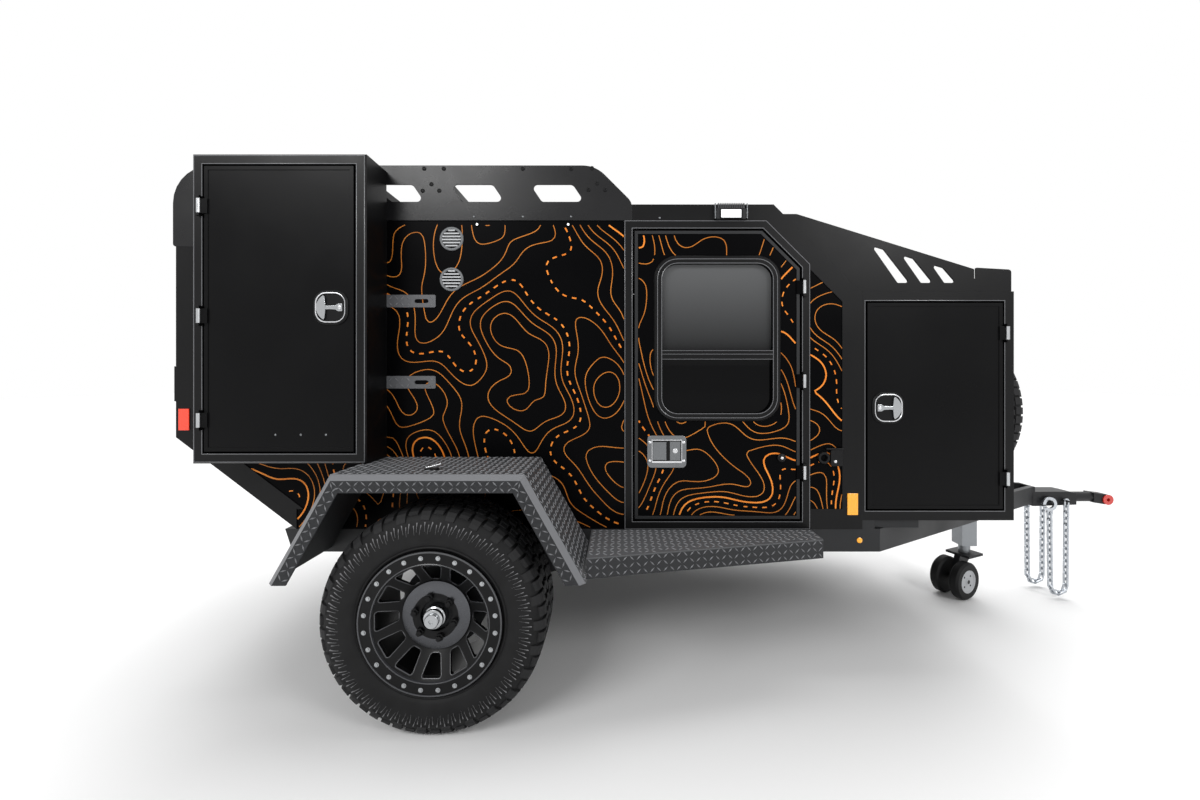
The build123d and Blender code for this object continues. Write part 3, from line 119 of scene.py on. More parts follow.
# paint, powder coat or moulded plastic: smudged gloss, a grain and edges that catch the light
def coated(name, colour, rough, grainMm, strength, edgeMm, shine=0.16, patchMm=180):
    mat, tree, shader, coord = startMaterial(name, colour, rough[0], shine=shine)
    smudge(tree, shader, coord, *rough, patchMm)
    grainAndEdge(tree, shader, coord, grainMm, strength, edgeMm)
    return mat


# bare metal: brushed or plated, with fine streaks of roughness
def bareMetal(name, colour, low, high, patchMm, edgeMm=0.8):
    mat, tree, shader, coord = startMaterial(name, colour, low, 1.0)
    smudge(tree, shader, coord, low, high, patchMm)
    grainAndEdge(tree, shader, coord, 1.2, 0.06, edgeMm)
    return mat


# matte skin in patches of two close colours, with a grain where it has one
def mottled(name, dark, light, roughness, shine, patchMm, grain=None):
    mat, tree, shader, coord = startMaterial(name, dark, roughness, shine=shine)
    noise = addNode(tree, "ShaderNodeTexNoise", {"Scale": 1000 / patchMm, "Detail": 4.0}, {"Vector": coord})
    blendColours(tree, shader, noise.outputs["Fac"], dark, light, (0.35, 0.65))
    if grain:
        grainAndEdge(tree, shader, coord, *grain)
    return mat


# textured bed-liner coat on the steps: paler on the tread's top, dark on the turned-down edge
def stepGrey(edge=0.592, tread=0.597):
    mat, tree, shader, coord = startMaterial("StepCoatGrey", "#353638", 0.5, shine=0.3)
    heightBlend(tree, shader, coord, edge, tread, "#212224", "#565759")
    grainAndEdge(tree, shader, coord, 4.0, 0.5, 1.5)
    return mat


# tinted acrylic glazing: glossy and nearly black below, with a painted reflection that lightens it toward its
# head
def glassWithPaintedReflection(foot=1.25, head=1.66, acrylicIor=1.49):
    mat, tree, shader, coord = startMaterial("TintedAcrylicPaintedReflection", "#101214", 0.04, shine=0.1)
    # painted reflection: the pane's colour turns from near black to grey with height, standing for the sky it
    # reflects
    heightBlend(tree, shader, coord, foot, head, "#040405", "#5C5D5E")
    shader.inputs["IOR"].default_value = acrylicIor
    smudge(tree, shader, coord, 0.03, 0.07, 300)
    return mat


# moulded polycarbonate lens: clear colour with a fine prism grid, and a painted glow: an emission in the
# lens's own colour
def lensPlastic(name, colour, glow=0.0):
    mat, tree, shader, coord = startMaterial(name, colour, 0.16)
    cells = addNode(tree, "ShaderNodeTexVoronoi", {"Scale": 1000 / 5.0}, {"Vector": coord})
    bump = addNode(tree, "ShaderNodeBump", {"Strength": 0.5, "Distance": 0.001},
                   {"Height": cells.outputs["Distance"]})
    tree.links.new(bump.outputs["Normal"], shader.inputs["Normal"])
    shader.inputs["Coat Weight"].default_value = 0.6
    shader.inputs["Emission Color"].default_value = hexColour(colour)
    shader.inputs["Emission Strength"].default_value = glow
    return mat


# gloss black film on the walls and gloss paint on the box doors: deep, with a faint orange peel
wrapMat = coated("GlossBlackWrap", "#040405", (0.24, 0.38), 9.0, 0.05, 1.5, 0.03, 260)
doorMat = coated("GlossBlackPaint", "#070708", (0.26, 0.4), 7.0, 0.06, 1.5, 0.09, 300)
# powder coats on steel and aluminium: fine pebble grain, a soft sheen that is brighter on edges
coatMat = coated("PowderCoatBlack", "#09090A", (0.3, 0.42), 2.2, 0.22, 2.0)
chassisMat = coated("ChassisCoatGrey", "#17181A", (0.4, 0.55), 2.6, 0.3, 2.0, 0.3)
plateMat = coated("RackCoatBlack", "#0B0B0D", (0.24, 0.34), 2.4, 0.2, 2.0, 0.3)
rimMat = coated("SatinRimBlack", "#0B0B0C", (0.3, 0.4), 1.6, 0.12, 1.5)
edgeMat = coated("SatinRimEdge", "#3A3B3E", (0.22, 0.3), 1.6, 0.1, 0.8, 0.6)
# painted highlight: a pale grey for strips laid along edges, standing for the light the edges catch
highlightLineMat = coated("PaintedEdgeHighlight", "#58595C", (0.2, 0.28), 2.0, 0.05, 0.5, 0.8)
# liner coat on checker plate: coarse dark grey, tabs rubbed pale; the raised bars and the folded corners are
# painted pale as painted highlights
linerMat = mottled("LinerCoatGrey", "#212224", "#292A2C", 0.6, 0.25, 9, (2.5, 0.5, 2.0))
stepMat = stepGrey()
topMat = coated("PaleTreadPlateTop", "#414244", (0.35, 0.5), 6.0, 0.5, 1.0, 0.4)
tabMat = coated("ScuffedTabGrey", "#57585B", (0.45, 0.6), 2.6, 0.3, 1.0, 0.4)
# painted highlights: the bars are pale for the light they catch, and the bars on top are paler still because
# they face the light from above
barHighlightMat = coated("BarPaintedHighlightGrey", "#6A6B6E", (0.35, 0.5), 2.6, 0.2, 0.5, 0.5)
topBarHighlightMat = coated("TopBarPaintedHighlightGrey", "#848588", (0.3, 0.45), 2.6, 0.2, 0.5, 0.5)
# painted highlight: the fenders' folded corner is pale where it faces the light
bevelHighlightMat = coated("BevelPaintedHighlightGrey", "#6C6D70", (0.4, 0.55), 3.0, 0.3, 1.0, 0.4)
# moulded tyre rubber: carbon black and matte; the tread blocks in a lighter grey and the sidewall ribs in a
# pale grey, both painted highlights
rubberMat = mottled("MouldedTyreRubber", "#0A0A0B", "#121213", 0.6, 0.22, 60, (1.6, 0.3, 1.2))
treadHighlightMat = coated("TreadRubberPaintedHighlight", "#1C1C1D", (0.6, 0.7), 1.6, 0.3, 1.2, 0.25)
ribHighlightMat = coated("RubberRibPaintedSheen", "#727274", (0.35, 0.45), 1.4, 0.15, 0.6, 0.5)
# stainless, chrome, zinc and turned alloy: clean greys that differ in gloss
dishMat = bareMetal("TurnedAlloy", "#505154", 0.24, 0.34, 30)
steelMat = bareMetal("PolishedStainless", "#C9CACC", 0.2, 0.32, 24)
stainMat = bareMetal("BrushedStainless", "#6E7072", 0.26, 0.4, 24)
chromeMat = bareMetal("SatinChrome", "#A9ABAD", 0.14, 0.26, 18)
hingeMat = bareMetal("StainlessPin", "#B4B6B8", 0.24, 0.36, 18)
zincMat = bareMetal("ZincPlate", "#B9BDC2", 0.3, 0.45, 14)
jackMat = bareMetal("WornZincPlate", "#86898C", 0.3, 0.46, 14)
boltMat = bareMetal("ZincBolt", "#A2A4A6", 0.25, 0.4, 6, 0.3)
# moulded nylon and vent plastic: even colour and a dull sheen
nylonMat = coated("DarkNylon", "#101011", (0.35, 0.45), 2.0, 0.15, 1.0)
greyHubMat = coated("GreyNylonHub", "#B0B2B5", (0.45, 0.55), 3.0, 0.15, 1.5, 0.5)
ventMat = coated("GreyVentPlastic", "#6F7173", (0.4, 0.5), 3.0, 0.12, 1.0)
louvreMat = coated("PaleLouvrePlastic", "#B4B6B8", (0.4, 0.5), 3.0, 0.1, 0.8)
# glazing, lenses and the coupler's polyurethane: strong clear colours under gloss
glassMat = glassWithPaintedReflection()
# painted glow: the red and amber lenses, reflectors among them, emit faintly; the white lenses' strong glow
# stands for a painted glint
redMat = lensPlastic("RedLens", "#F23A14", 0.12)
amberMat = lensPlastic("AmberLens", "#F2A200", 0.12)
whiteGlintMat = lensPlastic("WhiteLensPaintedGlint", "#F4F6F8", 0.7)
bushingMat = lensPlastic("RedPolyurethane", "#C8281A")
# printed ink of the contour lines: warm orange, a little uneven
boldInk = mottled("OrangeWrapInk", "#D9761F", "#EE9036", 0.45, 0.2, 90)
fineInk = mottled("FineOrangeInk", "#A9611C", "#C87A2C", 0.45, 0.2, 90)

nodeMaterials = (
    (wrapMat, "right_wall left_wall right_door left_door"),
    (doorMat, "rear_hatch tail_panel front_slope roof_panel floor_panel front_wall right_side_box_door"),
    (doorMat, "left_side_box_door right_front_box_door left_front_box_door"),
    (coatMat, "edge_trims door_frames right_side_box left_side_box front_box rack_plates rack_crossbars"),
    (coatMat, "right_door_window left_door_window spare_carrier wall_vents"),
    (chassisMat, "chassis_rails chassis_crossmembers drawbar_arms jack_plate tongue trailing_arms coupler"),
    (chassisMat, "white_lamps jack_fork"),
    (linerMat, "fenders wall_brackets right_hub left_hub"),
    (stepMat, "steps"),
    (rubberMat, "right_tyre left_tyre spare_tyre jack_wheels"),
    (rimMat, "right_rim left_rim spare_rim"),
    (steelMat, "right_door_hardware right_side_box_hardware right_front_box_hardware"),
    (steelMat, "left_door_hardware left_side_box_hardware left_front_box_hardware"),
    (zincMat, "safety_chains chain_hooks"),
    (jackMat, "jack_leg jack_tube"),
    (glassMat, "right_door_glass left_door_glass"),
    (redMat, "marker_lamps"),
    (bushingMat, "coupler_bushing"),
)
for mat, names in nodeMaterials:
    for name in names.split():
        mesh = nodes[name].data
        mesh.materials.clear()
        mesh.materials.append(mat)
print("materials set on the carried nodes")


# a plain mesh from a solid, which is a pair of corners in metres and faces
def makeShape(name, solid):
    mesh = bpy.data.meshes.new(name)
    mesh.from_pydata([tuple(c) for c in solid[0]], [], solid[1])
    return mesh


def placed(name, data):
    thing = bpy.data.objects.new(name, data)
    bpy.context.scene.collection.objects.link(thing)
    return thing


# every piece: distance at which corners weld, angle that stays sharp in smooth shading, segments of a bevel
finishing = {"weld": 1e-6, "creaseDeg": 38, "segments": 2}


# one finished piece from a solid, carried by a body
def makePiece(name, solid, mat, body="trailer", smooth=False, bevelMm=0.0, standsFor=()):
    return finishPiece(name, makeShape(name, solid), mat, body, smooth, bevelMm, standsFor)


def finishPiece(name, mesh, mat, body, smooth=False, bevelMm=0.0, standsFor=()):
    work = bmesh.new()
    work.from_mesh(mesh)
    bmesh.ops.remove_doubles(work, verts=work.verts, dist=finishing["weld"])
    bmesh.ops.recalc_face_normals(work, faces=work.faces)
    work.to_mesh(mesh)
    work.free()
    mesh.materials.clear()
    mesh.materials.append(mat)
    mesh.polygons.foreach_set("use_smooth", [smooth] * len(mesh.polygons))
    if smooth:
        mesh.set_sharp_from_angle(angle=math.radians(finishing["creaseDeg"]))
    piece = placed(name, mesh)
    if bevelMm:
        bevel = piece.modifiers.new("Bevel", "BEVEL")
        bevel.width, bevel.segments, bevel.limit_method = bevelMm / 1000, finishing["segments"], "ANGLE"
        bevel.harden_normals = False
    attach(piece, body)
    if standsFor:
        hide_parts(*standsFor)
    return piece


# Geometry Nodes tree: a shape set on every point of a mesh, turned by the points' own attribute
def scatterTree():
    tree = bpy.data.node_groups.new("SetOnPoints", "GeometryNodeTree")
    for label, kind in (("Points", "Geometry"), ("Shape", "Object"), ("Finish", "Material")):
        tree.interface.new_socket(label, in_out="INPUT", socket_type=f"NodeSocket{kind}")
    tree.interface.new_socket("Pieces", in_out="OUTPUT", socket_type="NodeSocketGeometry")
    given = addNode(tree, "NodeGroupInput")
    shape = addNode(tree, "GeometryNodeObjectInfo", links={"Object": given.outputs["Shape"]})
    turn = addNode(tree, "GeometryNodeInputNamedAttribute", {"data_type": "FLOAT_VECTOR", "Name": "turn"})
    spin = addNode(tree, "FunctionNodeEulerToRotation", links={0: turn.outputs["Attribute"]})
    copies = addNode(tree, "GeometryNodeInstanceOnPoints", links={
        "Points": given.outputs["Points"], "Instance": shape.outputs["Geometry"],
        "Rotation": spin.outputs[0]})
    solid = addNode(tree, "GeometryNodeRealizeInstances", links={0: copies.outputs[0]})
    dressed = addNode(tree, "GeometryNodeSetMaterial", links={
        "Geometry": solid.outputs[0], "Material": given.outputs["Finish"]})
    addNode(tree, "NodeGroupOutput", links={"Pieces": dressed.outputs[0]})
    return tree


setOnPoints = scatterTree()


# many copies of one shape in one piece: each place is a matrix in the trailer's frame
def scatter(name, places, shape, mat, body="trailer", smooth=False):
    mesh = bpy.data.meshes.new(name + "Points")
    mesh.from_pydata([p.to_translation() for p in places], [], [])
    turn = mesh.attributes.new("turn", "FLOAT_VECTOR", "POINT")
    turn.data.foreach_set("vector", [a for p in places for a in p.to_euler()])
    points, pattern = placed(name + "Points", mesh), placed(name + "Shape", shape)
    holder = points.modifiers.new("SetOnPoints", "NODES")
    holder.node_group = setOnPoints
    for item in setOnPoints.interface.items_tree:
        if item.in_out == "INPUT" and item.name in ("Shape", "Finish"):
            holder[item.identifier] = pattern if item.name == "Shape" else mat
    graph = bpy.context.evaluated_depsgraph_get()
    whole = bpy.data.meshes.new_from_object(points.evaluated_get(graph))
    for thing in (points, pattern):
        bpy.data.objects.remove(thing)
    return finishPiece(name, whole, mat, body, smooth)


# quads between neighbouring rings of corners
def bandFaces(rings, count, closed=False):
    return [(r * count + i, r * count + (i + 1) % count,
             (r + 1) % rings * count + (i + 1) % count, (r + 1) % rings * count + i)
            for r in range(rings if closed else rings - 1) for i in range(count)]


# solid between two outlines that have as many corners
def prism(near, far):
    count = len(near)
    return near + far, [tuple(range(count)), tuple(range(count, 2 * count))] + bandFaces(2, count)


# flat solid between two distances from the centreline, over a side-view outline in millimetres
def slab(outline, sign, near, far):
    return prism(*([Vector((x, sign * y, z)) / 1000 for x, z in outline] for y in (near, far)))


# upright block from its low corner and its sizes, in millimetres
def block(low, size):
    foot = ((0, 0), (1, 0), (1, 1), (0, 1))
    return prism(*([(low + Vector((size[0] * i, size[1] * j, size[2] * k))) / 1000 for i, j in foot]
                   for k in (0, 1)))


# a turned solid round the local Y axis, from (radius, height) pairs in millimetres, closed on itself
def turned(profile, segments):
    turns = [2 * math.pi * k / segments for k in range(segments)]
    corners = [Vector((r * math.cos(a), y, r * math.sin(a))) / 1000 for a in turns for r, y in profile]
    return corners, bandFaces(segments, len(profile), True)


# a turned shape set on the trailer's side with its axis pointing outward
def onSide(profile, segments, x, z, faceY, sign):
    facing = Matrix.Diagonal((1, sign, 1, 1))
    return moved(turned(profile, segments), Matrix.Translation(Vector((x, sign * faceY, z)) / 1000) @ facing)


# a frame swept round a flat loop seen from the side: each (inset, height) of the section is in millimetres
def sweptLoop(loop, section, sign, faceY):
    rings = [(insetLoop(loop, inset), faceY + height) for inset, height in section]
    corners = [Vector((x, sign * y, z)) / 1000 for ring, y in rings for x, z in ring]
    return corners, bandFaces(len(rings), len(loop), True)


# a convex loop drawn in by a distance, with mitred corners
def insetLoop(loop, distance):
    drawn = []
    for i, (bx, bz) in enumerate(loop):
        (ax, az), (cx, cz) = loop[i - 1], loop[(i + 1) % len(loop)]
        before, after = Vector((az - bz, bx - ax)).normalized(), Vector((bz - cz, cx - bx)).normalized()
        shift = (before + after) * (distance / (1 + before.dot(after)))
        drawn.append((bx + shift.x, bz + shift.y))
    return drawn


def rectLoop(cx, cz, w, h):
    return [(cx + i * w / 2, cz + j * h / 2) for i, j in ((-1, -1), (1, -1), (1, 1), (-1, 1))]


def roundedLoop(x0, z0, x1, z1, radius, steps=8):
    centres = ((x1 - radius, z0 + radius, -90), (x1 - radius, z1 - radius, 0),
               (x0 + radius, z1 - radius, 90), (x0 + radius, z0 + radius, 180))
    return [(cx + radius * math.cos(math.radians(a0 + 90 * k / steps)),
             cz + radius * math.sin(math.radians(a0 + 90 * k / steps)))
            for cx, cz, a0 in centres for k in range(steps + 1)]


# a loop with rounded corners: each corner is (x, z, radius)
def easedLoop(corners, steps=7):
    loop = []
    for i, (bx, bz, radius) in enumerate(corners):
        before, here, after = (Vector(corners[k][:2]) for k in (i - 1, i, (i + 1) % len(corners)))
        if not radius:
            loop.append((bx, bz))
            continue
        back, ahead = (before - here).normalized(), (after - here).normalized()
        half = back.angle(ahead) / 2
        centre = here + (back + ahead).normalized() * (radius / math.sin(half))
        start, end = (here + way * (radius / math.tan(half)) for way in (back, ahead))
        a0, a1 = (math.atan2(p.y - centre.y, p.x - centre.x) for p in (start, end))
        sweep = (a1 - a0 + math.pi) % (2 * math.pi) - math.pi
        turns = [a0 + sweep * k / steps for k in range(steps + 1)]
        loop += [(centre.x + radius * math.cos(a), centre.y + radius * math.sin(a)) for a in turns]
    return loop


# several solids in one
def joined(*solids):
    corners, faces = [], []
    for moreCorners, moreFaces in solids:
        faces += [tuple(i + len(corners) for i in face) for face in moreFaces]
        corners += moreCorners
    return corners, faces


def moved(solid, matrix):
    return [matrix @ Vector(c) for c in solid[0]], solid[1]


def boxMm(node):
    low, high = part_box(node)
    return low * 1000, high * 1000


# boxes of the carried nodes on the right side, in millimetres, and how far out their faces lie
wallLow, wallHigh = boxMm("right_wall")
doorLow, doorHigh = boxMm("right_door")
windowLow, windowHigh = boxMm("right_door_window")
frameLow, frameHigh = boxMm("door_frames")
boxLow, boxHigh = boxMm("right_side_box")
leafLow, leafHigh = boxMm("right_side_box_door")
frontBoxLow, frontBoxHigh = boxMm("front_box")
frontLeafLow, frontLeafHigh = boxMm("right_front_box_door")
rackLow, rackHigh = boxMm("rack_plates")
wallFace = -wallLow.y
leafBead = 2.0
doorFace, boxFace, frontFace = (-low.y - leafBead for low in (doorLow, leafLow, frontLeafLow))

# printed contour lines: level lines of a smooth height field, drawn as thin ribbons on the side panels
contour = {
    "seed": 23, "waves": 60, "longest": 2400.0, "shortest": 170.0, "fade": 1.35, "grid": 12.0, "levels": 26,
    "thin": 3.2, "bold": 6.0, "boldEvery": 5, "boldAt": 1, "dashEvery": 6, "dashAt": 3,
    "dash": 20.0, "gap": 19.0, "dashW": 4.6, "fewest": 3,
    "lift": 0.5, "thick": 0.4, "shortRun": 6, "cuts": 4, "keepEvery": 3,
    "tailRise": (366.0, 481.0), "slopeRun": 354.0, "trim": 80.0, "rackLap": 66.0, "sillLap": 6.0,
    "doorBead": 16.0, "doorCut": 150.0, "jamb": 2.0, "jambCut": 170.0,
}
sideOutline = [
    (wallLow.x + contour["tailRise"][1], wallLow.z), (wallHigh.x, wallLow.z),
    (wallHigh.x, wallHigh.z - contour["slopeRun"]), (wallHigh.x - contour["slopeRun"], wallHigh.z),
    (wallLow.x, wallHigh.z), (wallLow.x, wallLow.z + contour["tailRise"][0]),
]
doorOutline = [
    (doorLow.x, doorLow.z), (doorHigh.x, doorLow.z), (doorHigh.x, doorHigh.z - contour["doorCut"]),
    (doorHigh.x - contour["doorCut"], doorHigh.z), (doorLow.x, doorHigh.z),
]
trimLoop = insetLoop(sideOutline, contour["trim"])
beadLoop = insetLoop(doorOutline, contour["doorBead"])


def insideLoop(loop, x, z):
    return all((bx - ax) * (z - az) - (bz - az) * (x - ax) >= 0
               for (ax, az), (bx, bz) in zip(loop, loop[1:] + loop[:1]))


def onWall(x, z):
    sillTop = wallLow.z + contour["trim"] + 1
    overSill = sideOutline[0][0] < x < frameHigh.x and wallLow.z + contour["sillLap"] < z < sillTop
    behindBox = boxLow.x < x < boxHigh.x and z > boxLow.z
    inDoorway = (frameLow.x - contour["jamb"] < x < frameHigh.x + contour["jamb"]
                 and x + z < frameHigh.x + frameHigh.z - contour["jambCut"])
    onPanel = overSill or insideLoop(trimLoop, x, z)
    return onPanel and not behindBox and not inDoorway and z < wallHigh.z - contour["rackLap"]


def onDoor(x, z):
    inWindow = windowLow.x < x < windowHigh.x and windowLow.z < z < windowHigh.z
    return insideLoop(beadLoop, x, z) and not inWindow


# heights on a grid over the whole side, as a sum of random waves
def heightField():
    rng = np.random.default_rng(contour["seed"])
    xs, zs = (np.arange(low, high + contour["grid"], contour["grid"])
              for low, high in ((wallLow.x, wallHigh.x), (wallLow.z, wallHigh.z)))
    gridX, gridZ = np.meshgrid(xs, zs, indexing="ij")
    field = np.zeros_like(gridX)
    for _ in range(contour["waves"]):
        length = contour["shortest"] * (contour["longest"] / contour["shortest"]) ** rng.uniform()
        angle, phase = rng.uniform(0, 2 * math.pi, 2)
        along = gridX * math.cos(angle) + gridZ * math.sin(angle)
        field += length ** contour["fade"] * np.sin(2 * math.pi * along / length + phase)
    return xs, zs, field


# level line through the grid's cells, linked end to end into runs of points
def levelRuns(xs, zs, field, level):
    above = field > level
    links = {}
    mixed = above[:-1, :-1] * 1 + above[1:, :-1] + above[1:, 1:] + above[:-1, 1:]
    for i, j in np.argwhere((mixed > 0) & (mixed < 4)):
        ring = (above[i, j], above[i + 1, j], above[i + 1, j + 1], above[i, j + 1])
        edges = ((i, j, 0), (i + 1, j, 1), (i, j + 1, 0), (i, j, 1))
        cut = [edges[k] for k in range(4) if ring[k] != ring[(k + 1) % 4]]
        for a, b in zip(cut[::2], cut[1::2]):
            links.setdefault(a, []).append(b)
            links.setdefault(b, []).append(a)

    def crossing(edge):
        i, j, upright = edge
        a, b = field[i, j], field[i, j + 1] if upright else field[i + 1, j]
        share = (level - a) / (b - a) * contour["grid"]
        return (xs[i] + share * (not upright), zs[j] + share * upright)

    runs = []
    for start in sorted(links, key=lambda e: len(links[e])):
        if start not in links:
            continue
        run, here = [start], start
        while here in links:
            ahead = [e for e in links.pop(here) if e in links]
            if not ahead:
                break
            here = ahead[0]
            run.append(here)
        if len(run) > contour["shortRun"]:
            closes = math.dist(crossing(run[0]), crossing(run[-1])) < 2 * contour["grid"]
            runs.append([crossing(e) for e in run + run[:1] * closes])
    return runs


# cuts a run where it leaves its panel, and into dashes where asked
def clipped(run, allowed, dashed):
    parts, part, travelled = [], [], 0.0
    cuts = contour["cuts"]
    fine = [(ax + (bx - ax) * k / cuts, az + (bz - az) * k / cuts)
            for (ax, az), (bx, bz) in zip(run, run[1:]) for k in range(cuts)]
    for k, point in enumerate(fine):
        travelled += math.dist(point, fine[k - 1]) if k else 0.0
        inDash = not dashed or travelled % (contour["dash"] + contour["gap"]) < contour["dash"]
        if inDash and allowed(*point):
            part.append(point)
        else:
            parts.append(part)
            part = []
    long = [p for p in parts + [part] if len(p) > contour["fewest"]]
    return long if dashed else [p[::contour["keepEvery"]] + p[-1:] for p in long]


def ribbon(part, width, sign, faceY):
    path = [Vector(p) for p in part]
    corners = []
    for k, point in enumerate(path):
        along = (path[min(k + 1, len(path) - 1)] - path[max(k - 1, 0)]).normalized()
        across = Vector((-along.y, along.x)) * width / 2
        corners += [Vector((p.x, sign * faceY, p.y)) / 1000 for p in (point + across, point - across)]
    faces = [(2 * k, 2 * k + 1, 2 * k + 3, 2 * k + 2) for k in range(len(path) - 1)]
    return corners, [face[::-1] for face in faces] if sign < 0 else faces


# ink film of one panel: open ribbons, thickened by a modifier
def printContours(name, ribbons, ink, body):
    mesh = makeShape(name, joined(*ribbons))
    mesh.materials.append(ink)
    piece = placed(name, mesh)
    film = piece.modifiers.new("Film", "SOLIDIFY")
    film.thickness, film.offset = contour["thick"] / 1000, -1
    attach(piece, body)


def buildContours():
    xs, zs, field = heightField()
    levels = np.linspace(field.min(), field.max(), contour["levels"] + 2)[1:-1]
    drawn = []
    for n, level in enumerate(levels):
        bold = n % contour["boldEvery"] == contour["boldAt"]
        dashed = n % contour["dashEvery"] == contour["dashAt"]
        width = contour["bold"] if bold else contour["dashW"] if dashed else contour["thin"]
        drawn += [(run, width, dashed) for run in levelRuns(xs, zs, field, level)]
    for side, sign in sides:
        for panel, allowed, faceY, body in (("Wall", onWall, wallFace, "trailer"),
                                            ("Door", onDoor, doorFace, f"{side}_cabin_door")):
            for kind, ink in (("Fine", fineInk), ("Bold", boldInk)):
                chosen = [d for d in drawn if (d[1] == contour["thin"] and not d[2]) == (kind == "Fine")]
                ribbons = [ribbon(part, width, sign, faceY + contour["lift"])
                           for run, width, dashed in chosen for part in clipped(run, allowed, dashed)]
                printContours(f"{side}{panel}{kind}Contours", ribbons, ink, body)


buildContours()
print("contour lines printed on the side panels")

# all-terrain tyres: a moulded carcass with rows of centre and middle blocks, shoulder lugs and side ribs
tyre = {
    "radius": 385.0, "pitches": 27, "segments": 108,
    "crown": 3.0, "halfTread": 98.0, "edge": 1.4, "foot": 368.0,
    "carcass": [(217, 110), (243, 110), (246, 117), (252, 121.5), (256, 119.5), (262, 125), (268, 127.5),
                (285, 131.5), (301, 133), (318, 132), (334, 129), (348, 124), (360, 116.5), (368, 108),
                (372.5, 98), (374, 60)],
    "blocks": ([(-17, -33), (15, -33), (20, -18), (14, -4), (-19, -4), (-13, -18)],
               [(-15, -67), (12, -67), (19, -53), (14, -39), (-15, -39), (-9, -53)]),
    "shoulders": ([(384, 72), (382, 97), (375, 112), (362, 122.5), (349, 128)],
                  [(384, 72), (382, 97), (376, 110), (368, 118)]),
    "lugGap": 9.0, "lugSlant": 5.0, "taper": 1.5, "sunk": 9.0, "sunkLean": 0.6,
    "rib": [(342, 129.5), (328, 132.6), (312, 133.6)], "ribs": 6,
    "ribW": 3.6, "ribDrop": 9.0, "ribSlant": (9, 4),
}
treadPitch = math.pi * tyre["radius"] / tyre["pitches"]
tyreMesh = turned(tyre["carcass"] + [(r, -y) for r, y in reversed(tyre["carcass"])], tyre["segments"])


# one raised block over an outline in the tread's own plane: x round the tyre, y across it
def treadBlock(outline):
    def layer(points, lower):
        tops = [tyre["radius"] - tyre["crown"] * (y / tyre["halfTread"]) ** 2 - lower for x, y in points]
        return [Vector((x, y, r)) / 1000 for (x, y), r in zip(points, tops)]

    foot = [Vector((x, y, tyre["foot"])) / 1000 for x, y in outline]
    count = len(outline)
    corners = foot + layer(outline, tyre["edge"]) + layer(insetLoop(outline, tyre["edge"]), 0.0)
    return corners, [tuple(range(count)), tuple(range(2 * count, 3 * count))] + bandFaces(3, count)


# a lug bent over the shoulder: its outer line runs across and down the wall, and it is sunk in the carcass
def bentLug(line, middle, width, slant, side):
    corners = []
    for k, (r, y) in enumerate(line):
        shift = middle + slant * k / (len(line) - 1)
        half = width / 2 - (tyre["taper"] if k else 0.0)
        for inward in (0, tyre["sunk"]):
            across = side * (y - inward * tyre["sunkLean"])
            corners += [Vector((shift + end * half, across, r - inward)) / 1000 for end in (-1, 1)]
    faces = [(0, 1, 3, 2), tuple(4 * (len(line) - 1) + i for i in (0, 1, 3, 2))]
    for a in range(0, 4 * (len(line) - 1), 4):
        faces += [(a + i, a + j, a + j + 4, a + i + 4) for i, j in ((0, 1), (2, 3), (0, 2), (1, 3))]
    return corners, faces


# lays a flat stretch of tread round the tyre
def bent(solid):
    turns = [c.x * 1000 / tyre["radius"] for c in solid[0]]
    return [Vector((c.z * math.sin(a), c.y, c.z * math.cos(a))) for c, a in zip(solid[0], turns)], solid[1]


# the blocks of one repeat of the tread, which holds two pitches
def treadRepeat():
    solids = []
    for at, line in zip((0, treadPitch), tyre["shoulders"]):
        for outline in tyre["blocks"]:
            solids.append(treadBlock([(x + at, y) for x, y in outline]))
            solids.append(treadBlock([(at + treadPitch / 2 - x, -y) for x, y in outline]))
        width = treadPitch - tyre["lugGap"]
        for side in (-1, 1):
            solids.append(bentLug(line, at + side * treadPitch / 4, width, tyre["lugSlant"], side))
    return bent(joined(*solids))


# short raised ribs on the upper sidewall, at uneven slants and heights
def ribRepeat():
    most, less = tyre["ribSlant"]
    ribs = [bentLug([(r - tyre["ribDrop"] * (k % 2), y) for r, y in tyre["rib"]], (k - 1) * treadPitch / 3,
                    tyre["ribW"], most - less * (k % 3), side)
            for k in range(tyre["ribs"]) for side in (-1, 1)]
    return bent(joined(*ribs))


# wheel dressing: bolts round the ring, nuts, a turned dish and a stepped cap, on the wheel's own axis
wheel = {
    "ringBolts": 24, "ringBoltRadius": 221.0, "ringFace": 126.0,
    "nuts": 6, "nutRadius": 69.85, "nutFace": 73.5,
    "bolt": [(0, -2), (8, -2), (8, 1.2), (5.6, 1.6), (5.2, 4.6), (0, 5.2)],
    "nut": [(0, -2), (13.5, -2), (13.5, 12), (10.5, 13.5), (10, 22), (0, 24)],
    "dish": [(78, 61), (117, 60.6), (117.6, 66.0), (82, 73.8), (78, 73.2)],
    "hubFace": [(52, 61), (79, 61), (79, 73.4), (54, 73.4), (52, 72)],
    "spokes": 12, "spokeLoop": [(-16, 128, 7), (16, 128, 7), (34, 189, 7), (-34, 189, 7)],
    "spokeFoot": (116.0, 60.0), "spokeSlope": 0.69,
    "spokeEdge": [(-2.4, -0.8), (-2.4, 0.5), (-1.0, 1.0), (0.3, 0.5), (0.3, -0.8)],
    "cap": [(0, 66), (37, 66), (37, 82), (33, 85), (33, 97), (30, 99), (24, 99), (24, 112), (22, 114.5),
            (8, 114.5), (7, 111), (0, 111)],
    "lipEdge": [(236, 124.5), (241, 124.5), (242.5, 126.5), (241, 128.2), (237, 128.2)],
    "step": [(197, 118), (201, 118), (201.5, 125.8), (199.5, 127), (197.5, 125.8)],
}


